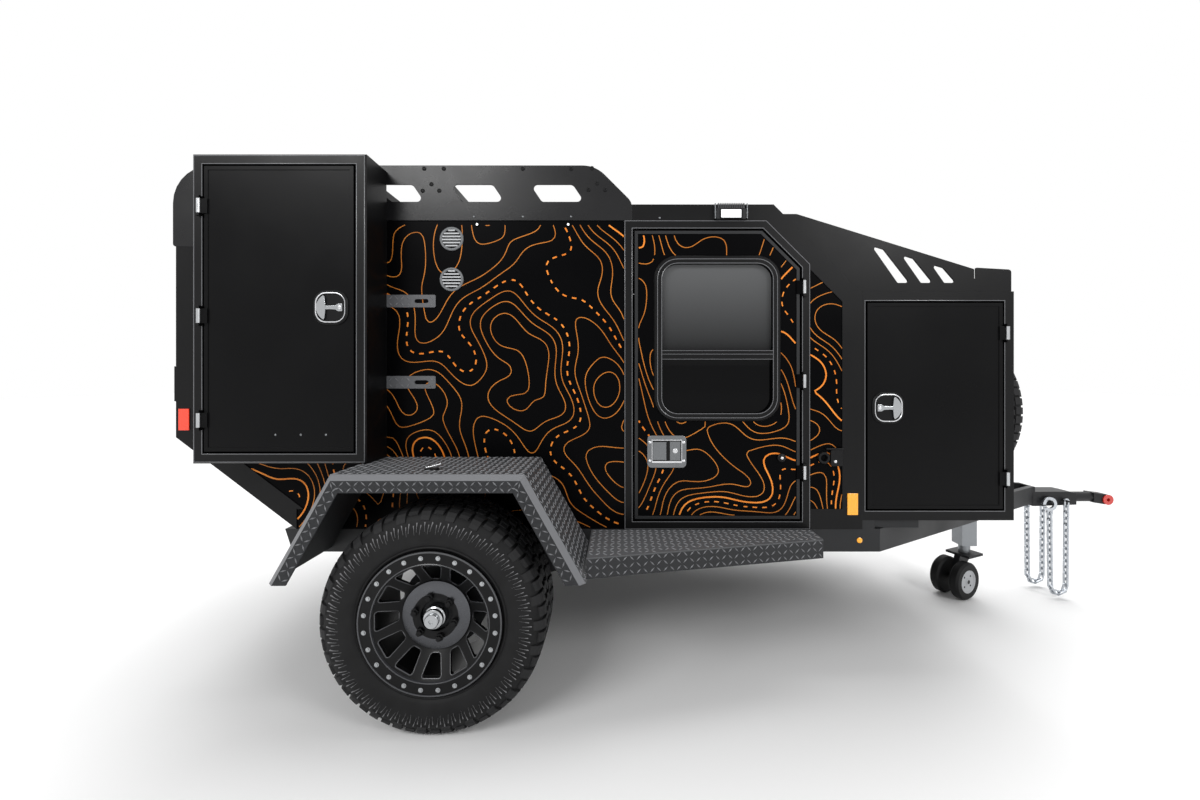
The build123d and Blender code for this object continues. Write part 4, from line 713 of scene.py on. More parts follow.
# rolled edge of one spoke window in a lighter grey, a painted highlight, lifted onto the cone of the spokes
def spokeEdge():
    corners, faces = sweptLoop(easedLoop(wheel["spokeLoop"], 4), wheel["spokeEdge"], 1, 0)
    footR, footY = wheel["spokeFoot"]
    lifts = [footY / 1000 + (math.hypot(c.x, c.z) - footR / 1000) * wheel["spokeSlope"] for c in corners]
    return [c + Vector((0, lift, 0)) for c, lift in zip(corners, lifts)], faces


boltShape = makeShape("ringBolt", turned(wheel["bolt"], 12))
nutShape = makeShape("lugNut", turned(wheel["nut"], 6))
treadShape = makeShape("treadRepeat", treadRepeat())
ribShape = makeShape("ribRepeat", ribRepeat())
spokeShape = makeShape("spokeEdge", spokeEdge())


# places in even steps round a wheel's axis
def ringPlaces(place, count, radius=0.0, face=0.0, start=0.0):
    return [place @ Matrix.Rotation(2 * math.pi * (k + start) / count, 4, "Y") @
            Matrix.Translation(Vector((0, face, radius)) / 1000) for k in range(count)]


def buildWheel(name, body, turnDeg, hasHub):
    low, high = boxMm(f"{name}_tyre")
    place = Matrix.Translation((low + high) / 2000) @ Matrix.Rotation(math.radians(turnDeg), 4, "Z")
    makePiece(f"{name}Carcass", moved(tyreMesh, place), rubberMat, body, True, standsFor=(f"{name}_tyre",))
    turns = ringPlaces(place, tyre["pitches"])
    scatter(f"{name}Tread", turns, treadShape, treadHighlightMat, body)
    scatter(f"{name}SideRibs", turns, ribShape, ribHighlightMat, body)
    bolts = ringPlaces(place, wheel["ringBolts"], wheel["ringBoltRadius"], wheel["ringFace"], 0.5)
    scatter(f"{name}RingBolts", bolts, boltShape, boltMat, body, True)
    nuts = ringPlaces(place, wheel["nuts"], wheel["nutRadius"], wheel["nutFace"], 0.25)
    scatter(f"{name}LugNuts", nuts, nutShape, rimMat, body)
    scatter(f"{name}SpokeEdges", ringPlaces(place, wheel["spokes"]), spokeShape, edgeMat, body, True)
    rings = [
        ("Dish", "dish", 96, dishMat), ("HubFace", "hubFace", 72, rimMat),
        ("Lipedge", "lipEdge", 96, edgeMat), ("Step", "step", 96, edgeMat), ("HubCap", "cap", 48, chromeMat),
    ]
    for label, key, segments, mat in rings if hasHub else rings[:-1]:
        makePiece(name + label, moved(turned(wheel[key], segments), place), mat, body, True)


buildWheel("right", "right_wheel", 180, True)
buildWheel("left", "left_wheel", 0, True)
buildWheel("spare", "trailer", -90, False)
print("wheels dressed")

# checker plate: low raised bars in a basket weave over the steps' and fenders' flat faces
checker = {"pitch": 24.0, "bar": 25.0, "width": 5.6, "rise": 2.0, "sunk": 0.3, "edge": 10.0}
halfBar, halfWidth = checker["bar"] / 2, checker["width"] / 2
barFoot = [Vector((x, y, -checker["sunk"])) / 1000
           for x, y in ((-halfBar, 0), (0, -halfWidth), (halfBar, 0), (0, halfWidth))]
barRidge = [Vector((x, 0, checker["rise"])) / 1000 for x in (-halfBar / 2, halfBar / 2)]
barShape = makeShape("checkerBar", (barFoot + barRidge, [
    (0, 1, 4), (1, 5, 4), (1, 2, 5), (2, 3, 5), (3, 4, 5), (3, 0, 4), (3, 2, 1, 0)]))


# bar places over a flat quad: corner, direction and length along and up it, all in millimetres
def barPlaces(corner, along, up, outward, trim=lambda u, v: True):
    length, height = along.length, up.length
    x, z = along.normalized(), outward.normalized()
    base = Matrix((x, z.cross(x), z)).transposed().to_4x4()
    columns, rows = (max(1, round(run / checker["pitch"])) for run in (length, height))
    places = []
    for i in range(columns):
        for j in range(rows):
            u, v = (i + 0.5) / columns, (j + 0.5) / rows
            if trim(u * length, v * height):
                spin = Matrix.Rotation(math.radians(45 if (i + j) % 2 else -45), 4, "Z")
                places.append(Matrix.Translation((corner + along * u + up * v) / 1000) @ base @ spin)
    return places


# fender: half widths of its top and feet, the folded corner and the skirt along its outer edge
fender = {"halfTop": 320.0, "halfFoot": 522.0, "bevel": 18.0, "lip": 58.0, "sheet": 5.0, "fold": 2.0}
step = {"deep": 294.0, "shallow": 113.0, "height": 70.0}
fenderLow, fenderHigh = boxMm("fenders")


# the arch's four corners from the side, each with the way it moves for 1 mm of inset
def fenderArch():
    cx, foot, top = (fenderLow.x + fenderHigh.x) / 2, fenderLow.z, fenderHigh.z
    rise, run = top - foot, fender["halfFoot"] - fender["halfTop"]
    length = math.hypot(run, rise)
    out, turn = length / rise, rise / (length + run)
    return [(cx - fender["halfFoot"], foot, out, 0), (cx - fender["halfTop"], top, turn, -1),
            (cx + fender["halfTop"], top, -turn, -1), (cx + fender["halfFoot"], foot, -out, 0)]


# a bent sheet with its own finish on top and on the skirt, and a painted highlight on the folded corner
def buildFender(side, sign):
    outer, bevel, lip, sheet = fenderHigh.y - checker["rise"], fender["bevel"], fender["lip"], fender["sheet"]
    inner, fold = outer - sheet, fender["fold"]
    section = [(wallFace, 0), (outer - bevel, 0), (outer, bevel), (outer, lip), (inner, lip),
               (inner, bevel + fold), (outer - bevel - fold, sheet), (wallFace, sheet)]
    arch, count = fenderArch(), len(section)
    corners = [Vector((x + n * dx, sign * y, z + n * dz)) / 1000 for x, z, dx, dz in arch for y, n in section]
    ends = [tuple(range(count)), tuple(range(len(corners) - count, len(corners)))]
    faces = bandFaces(len(arch), count)
    piece = makePiece(f"{side}Fender", (corners, faces + ends), topMat, standsFor=["fenders"])
    for mat in (bevelHighlightMat, linerMat):
        piece.data.materials.append(mat)
    slots = [min(i % count, 2) for i in range(len(faces))] + [2, 2]
    piece.data.polygons.foreach_set("material_index", slots)
    tops, skirts = [], []
    outward, reach = Vector((0, sign, 0)), Vector((0, sign * (outer - bevel - wallFace), 0))
    for first, second in zip(arch, arch[1:]):
        along = Vector((second[0] - first[0], 0, second[1] - first[1]))
        corner = Vector((first[0], sign * wallFace, first[1]))
        tops += barPlaces(corner, along, reach, Vector((-along.z, 0, along.x)))
        start, end = (Vector((x + bevel * dx, sign * outer, z + bevel * dz))
                      for x, z, dx, dz in (first, second))
        down = Vector((along.z, 0, -along.x)).normalized() * (lip - bevel)
        bars = barPlaces(start, end - start, down, outward)
        skirts += [bar for bar in bars if bar.translation.z * 1000 > fenderLow.z + checker["edge"]]
    return tops, skirts


def stepPlaces(sign):
    low, high = boxMm("steps")
    length, slant = high.x - low.x, step["deep"] - step["shallow"]

    def within(u, v):
        return v < step["deep"] - slant * u / length - checker["edge"]

    tops = barPlaces(Vector((low.x, sign * wallFace, high.z)), Vector((length, 0, 0)),
                     Vector((0, sign * step["deep"], 0)), Vector((0, 0, 1)), within)
    corner = Vector((low.x, sign * (wallFace + step["deep"]), high.z - step["height"]))
    edge = Vector((length, -sign * slant, 0))
    return tops, barPlaces(corner, edge, Vector((0, 0, step["height"])), Vector((slant, sign * length, 0)))


for side, sign in sides:
    tops, skirts = (onFender + onStep for onFender, onStep in zip(buildFender(side, sign), stepPlaces(sign)))
    scatter(f"{side}TopBars", tops, barShape, topBarHighlightMat)
    scatter(f"{side}SkirtBars", skirts, barShape, barHighlightMat)
print("checker plate raised on fenders and steps")

# latches, knobs and hinges, each modelled in place of its plain node
paddle = {
    "x": 128.0, "z": 269.0, "w": 156.0, "h": 129.0, "corner": 18.0, "plate": 5.0,
    "bezel": (122.0, 92.0), "rim": 4.0, "rise": 2.0, "high": 8.0, "sunk": 3.0,
    "grip": (-29.0, 54.0, 72.0, 1.0), "lock": (33.0, 42.0, 76.0, 2.0), "gripRise": 3.0, "gripFoot": 4.0,
    "ledge": 7.0, "ease": 1.0, "seat": 0.3, "recessTrim": 6.0, "lockRise": 4.0, "lockSunk": 2.5,
    "screw": (67.0, 37.0), "barrel": [(0, 0), (10, 0), (10, 3), (8, 4), (6, 4), (6, 2.5), (0, 2.5)],
}
knob = {
    "x": 74.0, "z": 245.0, "profile": [(0, 0), (15, 0), (17, 3), (17, 9), (12, 13), (0, 14)], "screw": 12.6,
    "sunk": 0.5,
}
foldLatch = {
    "size": 128.0, "corner": 48.0, "section": [(0, 0), (0, 3), (4, 7), (9, 7), (14, 3), (14, 0.5)],
    "line": [(0, 4), (0, 7.2), (1.6, 7.8), (4, 6.2), (4, 3)], "lineInset": 9.0, "dishInset": 13.0,
    "arc": 51.0, "arcDeg": 62.0, "arcSteps": 8, "inner": [(20, 38), (17, 10), (17, -10), (20, -38)],
    "stem": [(24, 8), (4, 6.5), (-18, 8), (-28, 14), (-44, 14)], "barHigh": 8.5, "stemHigh": 6.5,
    "barrel": [(0, 0), (7, 0), (7, 2), (5.5, 3), (0, 3)], "barrelRun": 35.0,
    "dish": (0.3, 1.2), "foot": 1.0, "sideBox": (83.0, 527.0), "frontBox": (82.0, 403.0),
}
hinge = {
    "r": 7.0, "length": 54.0, "lift": 1.0, "gap": 8.0, "strap": 14.0, "plate": 3.0, "bead": 2.0, "frame": 3.0,
    "door": (187.0, 550.0, 923.0), "sideBox": (115.0, 496.0, 898.0), "frontBox": (121.0, 701.0),
}
screwProfile = [(0, 0), (6, 0), (6, 0.8), (4.4, 2.0), (0, 2.6)]


def buildPaddle(side, sign, body):
    cx, cz, face = doorLow.x + paddle["x"], doorLow.z + paddle["z"], doorFace
    w, h, high, rim, sunk, ease = (paddle[key] for key in ("w", "h", "high", "rim", "sunk", "ease"))
    bezelW, bezelH = paddle["bezel"]
    plateTop, trim = face + paddle["plate"], paddle["recessTrim"]
    bezelZ = cz + paddle["rise"]
    outline = roundedLoop(cx - w / 2, cz - h / 2, cx + w / 2, cz + h / 2, paddle["corner"])
    plate = slab(outline, sign, face - ease, plateTop)
    makePiece(f"{side}LatchPlate", plate, stainMat, body, False, 2.0, [f"{side}_door_hardware"])
    section = [(0, sunk), (0, high - ease), (ease, high), (rim - ease, high), (rim, high - ease), (rim, sunk)]
    ledge = rectLoop(cx, bezelZ - bezelH / 2 + rim, bezelW - rim, paddle["ledge"])
    screws = [onSide(screwProfile, 14, cx + i * paddle["screw"][0], cz + j * paddle["screw"][1],
                     plateTop - paddle["seat"], sign) for i in (-1, 1) for j in (-1, 1)]
    bezel = joined(sweptLoop(rectLoop(cx, bezelZ, bezelW, bezelH), section, sign, face),
                   slab(ledge, sign, face + sunk, face + high + ease), *screws)
    makePiece(f"{side}LatchBezel", bezel, steelMat, body, True)
    opening = rectLoop(cx, bezelZ, bezelW - trim, bezelH - trim)
    recess = slab(opening, sign, face + sunk, plateTop + paddle["seat"])
    makePiece(f"{side}LatchRecess", recess, coatMat, body)
    grips = [slab(rectLoop(cx + dx, cz + paddle["gripRise"], gw, gh), sign, face + paddle["gripFoot"],
                  face + high - drop) for dx, gw, gh, drop in (paddle["grip"], paddle["lock"])]
    makePiece(f"{side}LatchPaddle", joined(*grips), stainMat, body, False, 2.2)
    lock = onSide(paddle["barrel"], 20, cx + paddle["lock"][0], cz + paddle["lockRise"],
                  face + high - paddle["lockSunk"], sign)
    makePiece(f"{side}LatchLock", lock, steelMat, body, True)
    kx, kz = doorHigh.x - knob["x"], doorLow.z + knob["z"]
    grip = onSide(knob["profile"], 24, kx, kz, face - knob["sunk"], sign)
    makePiece(f"{side}HoldBackKnob", grip, nylonMat, body, True)
    screw = onSide(screwProfile, 12, kx, kz, face + knob["screw"], sign)
    makePiece(f"{side}KnobScrew", screw, steelMat, body, True)


# latch with a folding T: a rounded dish with a bright rim, and the handle lying across it
def buildFoldLatch(name, cx, cz, face, sign, way, body, node):
    half = foldLatch["size"] / 2
    loop = roundedLoop(cx - half, cz - half, cx + half, cz + half, foldLatch["corner"])
    rim = sweptLoop(loop, foldLatch["section"], sign, face)
    makePiece(f"{name}Rim", rim, nylonMat, body, True, 0.0, [node])
    line = sweptLoop(insetLoop(loop, foldLatch["lineInset"]), foldLatch["line"], sign, face)
    makePiece(f"{name}RimLine", line, steelMat, body, True)
    low, top = foldLatch["dish"]
    dish = slab(insetLoop(loop, foldLatch["dishInset"]), sign, face + low, face + top)
    makePiece(f"{name}Dish", dish, coatMat, body)
    steps, arc = foldLatch["arcSteps"], foldLatch["arc"]
    turns = [math.radians(foldLatch["arcDeg"] * k / steps) for k in range(-steps, steps + 1)]
    bar = [(arc * math.cos(a), arc * math.sin(a)) for a in turns] + foldLatch["inner"]
    stem = foldLatch["stem"] + [(x, -z) for x, z in reversed(foldLatch["stem"])]
    solids = [slab([(cx - way * x, cz + z) for x, z in outline], sign, face + foldLatch["foot"], face + high)
              for outline, high in ((bar, foldLatch["barHigh"]), (stem, foldLatch["stemHigh"]))]
    makePiece(f"{name}Handle", joined(*solids), chromeMat, body, False, 1.8)
    lock = onSide(foldLatch["barrel"], 16, cx + way * foldLatch["barrelRun"], cz, face + 6, sign)
    makePiece(f"{name}Lock", lock, steelMat, body, True)


# hinges of one leaf: bright barrels on the axis, dark straps on the leaf
def buildHinges(name, edgeX, way, lowZ, rises, face, leafY, sign, body, strapMat):
    half, r, seat = hinge["length"] / 2, hinge["r"], face + hinge["lift"]
    axisX, axisY, strapX = edgeX + way * (hinge["gap"] + r), seat + r, edgeX - way * hinge["strap"]
    rod = turned([(0, -half), (r - 1, -half), (r, 1 - half), (r, half - 1), (r - 1, half), (0, half)], 18)
    upright = Matrix.Rotation(math.radians(90), 4, "X")
    places = [Vector((axisX, sign * axisY, lowZ + z)) / 1000 for z in rises]
    barrels = [moved(rod, Matrix.Translation(place) @ upright) for place in places]
    makePiece(f"{name}HingeBarrels", joined(*barrels), hingeMat, body, True)
    section = [(strapX, leafY - 0.3), (edgeX, leafY - 0.3), (edgeX, seat), (axisX, seat), (axisX, axisY),
               (edgeX, leafY + hinge["plate"] + 1), (strapX, leafY + hinge["plate"])]
    straps = []
    for z in rises:
        ends = [[Vector((x, sign * y, lowZ + z + end)) / 1000 for x, y in section] for end in (-half, half)]
        straps.append(prism(*ends))
    makePiece(f"{name}HingeStraps", joined(*straps), strapMat, body)


for side, sign in sides:
    doorBody, sideBody, frontBody = (f"{side}_{leaf}_door" for leaf in ("cabin", "side_box", "front_box"))
    buildPaddle(side, sign, doorBody)
    inset, rise = foldLatch["sideBox"]
    buildFoldLatch(f"{side}SideLatch", leafHigh.x - inset, leafLow.z + rise, boxFace, sign, 1, sideBody,
                   f"{side}_side_box_hardware")
    inset, rise = foldLatch["frontBox"]
    buildFoldLatch(f"{side}FrontLatch", frontLeafLow.x + inset, frontLeafLow.z + rise, frontFace, sign, -1,
                   frontBody, f"{side}_front_box_hardware")
    bead = hinge["bead"]
    buildHinges(f"{side}Door", doorHigh.x, 1, doorLow.z, hinge["door"], doorFace + hinge["frame"],
                doorFace + bead, sign, doorBody, wrapMat)
    buildHinges(f"{side}SideBox", leafLow.x, -1, leafLow.z, hinge["sideBox"], boxFace, boxFace + bead, sign,
                sideBody, doorMat)
    buildHinges(f"{side}FrontBox", frontLeafHigh.x, 1, frontLeafLow.z, hinge["frontBox"], frontFace,
                frontFace + bead, sign, frontBody, doorMat)
print("latches, knobs and hinges made")

# round vents: a grey ring over a dark back, with light louvres across it
vent = {
    "r": 47.0, "bore": 38.0, "ring": [(47, 0), (47, 5), (44.5, 7), (40, 7), (37.5, 4.5), (37.5, 0)],
    "back": [(0, 0.3), (38, 0.3), (38, 1), (0, 1)], "bars": 6, "pitch": 12.2, "rise": 3.0, "clear": 2.0,
    "bar": 5.6, "low": 0.8, "high": 5.5,
}
ventLow, ventHigh = boxMm("wall_vents")
ventPlaces = [((ventLow.x + ventHigh.x) / 2, z) for z in (ventHigh.z - vent["r"], ventLow.z + vent["r"])]
barHeights = [(k - (vent["bars"] - 1) / 2) * vent["pitch"] + vent["rise"] for k in range(vent["bars"])]


def buildVents(side, sign):
    rings, backs = ([onSide(vent[part], 40, x, z, wallFace, sign) for x, z in ventPlaces]
                    for part in ("ring", "back"))
    bars = []
    for x, z in ventPlaces:
        for rise in barHeights:
            length = 2 * math.sqrt(vent["bore"] ** 2 - (abs(rise) + vent["clear"]) ** 2)
            bars.append(slab(rectLoop(x, z + rise, length, vent["bar"]), sign, wallFace + vent["low"],
                             wallFace + vent["high"]))
    makePiece(f"{side}VentRings", joined(*rings), ventMat, smooth=True, standsFor=["wall_vents"])
    makePiece(f"{side}VentBacks", joined(*backs), wrapMat)
    makePiece(f"{side}VentLouvres", joined(*bars), louvreMat)


# reflectors and lamps in their own colours
marker = {
    "w": 42.0, "h": 86.0, "t": 4.0, "rearInset": 34.0, "rearRise": 71.0,
    "frontInset": 40.0, "frontRise": 100.0,
    "railInset": 10.0, "railDrop": 45.5, "dome": [(0, 0), (11, 0), (11, 1.5), (8, 3.4), (0, 4)],
    "tail": (8.0, 30.0, 140.0), "tailRise": 213.0, "post": 25.0,
    "lens": 2.0, "lensProud": 0.6, "lensRim": 3.0,
}
trimFace = boxMm("marker_lamps")[1].y - marker["t"]
tailZ = wallLow.z + contour["tailRise"][0]


def buildMarkers(side, sign):
    w, h = marker["w"], marker["h"]
    red = rectLoop(wallLow.x + marker["rearInset"], tailZ + marker["rearRise"], w, h)
    amber = rectLoop(wallHigh.x - marker["frontInset"], wallLow.z + marker["frontRise"], w, h)
    for label, outline, mat, nodesHid in (("RedReflector", red, redMat, ["marker_lamps"]),
                                          ("AmberReflector", amber, amberMat, ())):
        plate = slab(outline, sign, trimFace, trimFace + marker["t"])
        makePiece(side + label, plate, mat, bevelMm=1.2, standsFor=nodesHid)
    deep, wide, tall = marker["tail"]
    low = Vector((wallLow.x - deep, sign * (wallFace - marker["post"] / 2) - wide / 2,
                  tailZ + marker["tailRise"] - tall / 2))
    makePiece(f"{side}TailHousing", block(low, marker["tail"]), coatMat, bevelMm=1.5)
    rim = marker["lensRim"]
    lens = block(low + Vector((-marker["lensProud"], rim, rim)),
                 (marker["lens"], wide - 2 * rim, tall - 2 * rim))
    makePiece(f"{side}TailLens", lens, redMat, bevelMm=0.5)
    railX, railZ = wallHigh.x - marker["railInset"], wallLow.z - marker["railDrop"]
    button = onSide(marker["dome"], 24, railX, railZ, wallFace, sign)
    makePiece(f"{side}RailMarker", button, amberMat, smooth=True)


# finned flood light with steel brackets on the roof's edge, and two small spots under the rack
flood = {
    "w": 130.0, "h": 62.0, "d": 20.0, "fins": 12, "fin": (4.4, 20.0), "finEnd": 15.0, "lens": (79.0, 40.0),
    "bezel": [(0, -4), (0, 0), (1, 1), (4, 1), (5, 0), (5, -4)], "bracket": 4.0,
    "bodyTrim": 12.0, "bodyShy": 3.0, "coreTrim": 2.0, "coreDeep": 8.0, "finShy": 2.0,
    "bezelGrow": (5.0, 1.0), "bezelR": 6, "bezelShy": 1.0, "lensTrim": 4.0, "lensShy": (4.0, 1.5),
    "bracketTrim": 2.0,
    "spotShare": (0.38, 0.763), "spotZ": 80.0,
    "shell": [(0, 0), (8, 0), (8, 3), (6.5, 5), (5, 5), (5, 4), (0, 4)],
    "bulb": [(0, 3.6), (4.8, 3.6), (4.8, 4.4), (3, 5.2), (0, 5.5)],
}
lampHigh = boxMm("white_lamps")[1]


def buildLamps(side, sign):
    w, h, d, end = (flood[key] for key in ("w", "h", "d", "finEnd"))
    cx, low, top = lampHigh.x - w / 2, lampHigh.z - h, lampHigh.z
    near, far = trimFace, trimFace + d
    finW, finH = flood["fin"]
    finZ, span = top - finH / 2, w - 2 * end
    body = slab(rectLoop(cx, (low + top - finH) / 2, w - flood["bodyTrim"], h - finH), sign, near,
                far - flood["bodyShy"])
    core = slab(rectLoop(cx, finZ, span, finH - flood["coreTrim"]), sign, near, near + flood["coreDeep"])
    makePiece(f"{side}FloodHousing", joined(body, core), chassisMat, bevelMm=1.5, standsFor=["white_lamps"])
    places = [cx - span / 2 + k * span / (flood["fins"] - 1) for k in range(flood["fins"])]
    fins = [slab(rectLoop(x, finZ, finW, finH), sign, near, far - flood["finShy"]) for x in places]
    makePiece(f"{side}FloodFins", joined(*fins), edgeMat)
    lw, lh = flood["lens"]
    lz = low + (h - finH) / 2
    bx, bz = lw / 2 + flood["bezelGrow"][0], lh / 2 + flood["bezelGrow"][1]
    loop = roundedLoop(cx - bx, lz - bz, cx + bx, lz + bz, flood["bezelR"], 4)
    bezel = sweptLoop(loop, flood["bezel"], sign, far - flood["bezelShy"])
    makePiece(f"{side}FloodBezel", bezel, coatMat, smooth=True)
    back, front = flood["lensShy"]
    lens = slab(rectLoop(cx, lz, lw, lh - flood["lensTrim"]), sign, far - back, far - front)
    # painted glint: the white glow of the flood and spot lenses
    makePiece(f"{side}FloodLens", lens, whiteGlintMat)
    thick, tall = flood["bracket"], h - flood["bracketTrim"]
    plates = [slab(rectLoop(cx + way * (w - thick) / 2, (low + top) / 2, thick, tall), sign, near, far)
              for way in (-1, 1)]
    makePiece(f"{side}FloodBrackets", joined(*plates), stainMat, bevelMm=0.8)
    spots = [boxHigh.x + share * (frameLow.x - boxHigh.x) for share in flood["spotShare"]]
    spotZ = wallHigh.z - flood["spotZ"]
    for label, part, segments, mat in (("SpotShells", "shell", 20, coatMat),
                                       ("SpotLenses", "bulb", 16, whiteGlintMat)):
        solids = [onSide(flood[part], segments, x, spotZ, wallFace, sign) for x in spots]
        makePiece(side + label, joined(*solids), mat, smooth=True)


for side, sign in sides:
    buildVents(side, sign)
    buildMarkers(side, sign)
    buildLamps(side, sign)
print("vents, reflectors and lamps made")

# button-head screws on the rack plates, rivets under them and low on the side boxes' doors
fastener = {
    "rack": [(-1255, 2037), (-1177, 2037), (-862, 2037), (-670, 2037), (-587, 2039), (-1226, 1975),
             (-1261, 1949), (-1195, 1949), (-567, 1979), (-601, 1953), (-534, 1953)],
    "trim": [(-1057, 1846), (-862, 1846), (-670, 1846), (-317, 1841)],
    "boxDoor": [(-1737, 996), (-1644, 996), (-1552, 996)], "sunk": 0.2,
    "button": [(0, 0), (8.5, 0), (8.5, 1.5), (6, 4.0), (3.5, 4.4), (3.5, 2.2), (0, 2.2)],
    "rivet": [(0, 0), (4.2, 0), (3.9, 1.1), (2.2, 2.0), (0, 2.2)],
}
buttonHead = makeShape("buttonHead", turned(fastener["button"], 14))
rivetHead = makeShape("rivetHead", turned(fastener["rivet"], 12))


# places on a side face, turned so that the local Y axis points outward
def sidePlaces(points, faceY, sign):
    turn = Matrix.Rotation(math.radians(180 if sign < 0 else 0), 4, "Z")
    y = sign * (faceY - fastener["sunk"])
    return [Matrix.Translation(Vector((x, y, z)) / 1000) @ turn for x, z in points]


for side, sign in sides:
    for label, key, face, shape, mat, body in (
            ("RackScrews", "rack", rackHigh.y, buttonHead, nylonMat, "trailer"),
            ("TrimRivets", "trim", rackHigh.y, rivetHead, stainMat, "trailer"),
            ("BoxDoorRivets", "boxDoor", boxFace, rivetHead, stainMat, f"{side}_side_box_door")):
        scatter(side + label, sidePlaces(fastener[key], face, sign), shape, mat, body, True)

# small toggle catch on each fender's top
toggle = {"x": -1125.0, "y": 1015.0, "base": (46.0, 20.0, 6.0), "half": 6.0,
          "lever": [(-20, 5), (2, 9), (34, 20), (34, 23.5), (0, 14), (-20, 10)]}


def buildToggle(side, sign):
    x, y, top = toggle["x"], sign * toggle["y"], fenderHigh.z
    length, width, _ = toggle["base"]
    base = block(Vector((x - length / 2, y - width / 2, top)), toggle["base"])
    makePiece(f"{side}ToggleBase", base, nylonMat, bevelMm=1.5)
    lever = prism(*([Vector((x + u, y + j * toggle["half"], top + v)) / 1000 for u, v in toggle["lever"]]
                    for j in (-1, 1)))
    makePiece(f"{side}ToggleLever", lever, steelMat, bevelMm=1.2)


# castor hubs: pale dished discs with dark holes on the wheels' outer faces
castor = {
    "reach": 75.0, "disc": [(10.6, 0.2), (12, 0.5), (18, -6.6), (53, -6.6), (60.5, 0.2), (62, -1.5), (54, -9),
                            (10.6, -9)],
    "holes": 4, "holeRun": 36.0, "plug": [(0, -7), (5.5, -7), (5.5, -6.2), (0, -6.2)],
}


def buildCastorHubs():
    spin = next(j for j in frame["joints"] if j["child"] == "castor_wheels")
    centre, axis = Vector(spin["pos_m"]), Vector(spin["axis"]).normalized()
    discs, holes = [], []
    for end in (-1, 1):
        turn = (axis * end).to_track_quat("Y", "Z").to_matrix().to_4x4()
        place = Matrix.Translation(centre + axis * end * castor["reach"] / 1000) @ turn
        discs.append(moved(turned(castor["disc"], 36), place))
        for k in range(castor["holes"]):
            angle = 2 * math.pi * (k + 0.5) / castor["holes"]
            offset = Vector((math.cos(angle), 0, math.sin(angle))) * castor["holeRun"] / 1000
            holes.append(moved(turned(castor["plug"], 12), place @ Matrix.Translation(offset)))
    makePiece("CastorHubs", joined(*discs), greyHubMat, "castor_wheels", True)
    makePiece("CastorHubHoles", joined(*holes), nylonMat, "castor_wheels")


for side, sign in sides:
    buildToggle(side, sign)
buildCastorHubs()
print("screws, rivets, catches and castor hubs made")


# flat plate with holes on the trailer's side: a filled curve made a mesh, then stood up in its place
def cutPlate(name, loops, sign, near, far, mat, standsFor=()):
    curve = bpy.data.curves.new(name, "CURVE")
    curve.dimensions, curve.fill_mode, curve.extrude = "2D", "BOTH", (far - near) / 2000
    for loop in loops:
        spline = curve.splines.new("POLY")
        spline.points.add(len(loop) - 1)
        spline.points.foreach_set("co", [v for x, z in loop for v in (x / 1000, z / 1000, 0, 1)])
        spline.use_cyclic_u = True
    flat = placed(name + "Flat", curve)
    mesh = bpy.data.meshes.new_from_object(flat.evaluated_get(bpy.context.evaluated_depsgraph_get()))
    bpy.data.objects.remove(flat)
    middle = sign * (near + far) / 2000
    mesh.transform(Matrix.Translation((0, middle, 0)) @ Matrix.Rotation(math.radians(90), 4, "X"))
    return finishPiece(name, mesh, mat, "trailer", standsFor=standsFor)


# rack plates with a rounded shoulder and leaning slots, and the slotted plates beside the front deck
rack = {
    "rearDrop": 168.0, "rearW": 84.0, "lap": 64.0, "rise": 155.0, "frontGap": 10.0, "shoulder": 146.0,
    "rounds": (12, 6, 4, 55, 125, 150), "slot": (215.0, 68.0), "slotFront": 297.5, "slotRise": 44.0,
    "slotLean": 46.0, "slotEnd": 33.0, "slotR": (15, 22), "slots": 5, "t": 4.0,
}
deck = {
    "run": 93.0, "fall": 37.0, "nose": (158.0, 89.0), "lip": (152.0, 95.0), "tip": (10.0, 87.0),
    "notch": 38.0, "rounds": (20, 6, 1.5, 4, 12), "start": 38.0, "pitch": 119.0, "slots": 3,
    "slotW": 48.0, "slotR": 7, "margin": 34.0, "lean": 0.7, "t": 6.0,
}


def rackLoops():
    roof, rear, front = wallHigh.z, rackLow.x, doorLow.x - rack["frontGap"]
    top, low, lap = roof + rack["rise"], roof - rack["rearDrop"], roof - rack["lap"]
    inner = rear + rack["rearW"]
    heel, foot, toe, brow, shoulder, tail = rack["rounds"]
    loops = [easedLoop([
        (rear, low, heel), (inner, low, foot), (inner, lap, 0), (front, lap, toe),
        (front, top - rack["shoulder"], brow), (front - rack["shoulder"], top, shoulder), (rear, top, tail)])]
    w, h = rack["slot"]
    first, lean, (tight, wide) = front - rack["slotFront"], rack["slotLean"], rack["slotR"]
    pitch = (first + w / 2 - wallLow.x - rack["slotEnd"]) / rack["slots"]
    z0, z1 = roof + rack["slotRise"] - h / 2, roof + rack["slotRise"] + h / 2
    for k in range(rack["slots"]):
        x0, x1 = first - k * pitch - w / 2, first - k * pitch + w / 2
        corners = [(x0 + lean, z0, tight), (x1, z0, tight), (x1 - lean, z1, wide), (x0, z1, tight)]
        loops.append(easedLoop(corners, 5))
    return loops


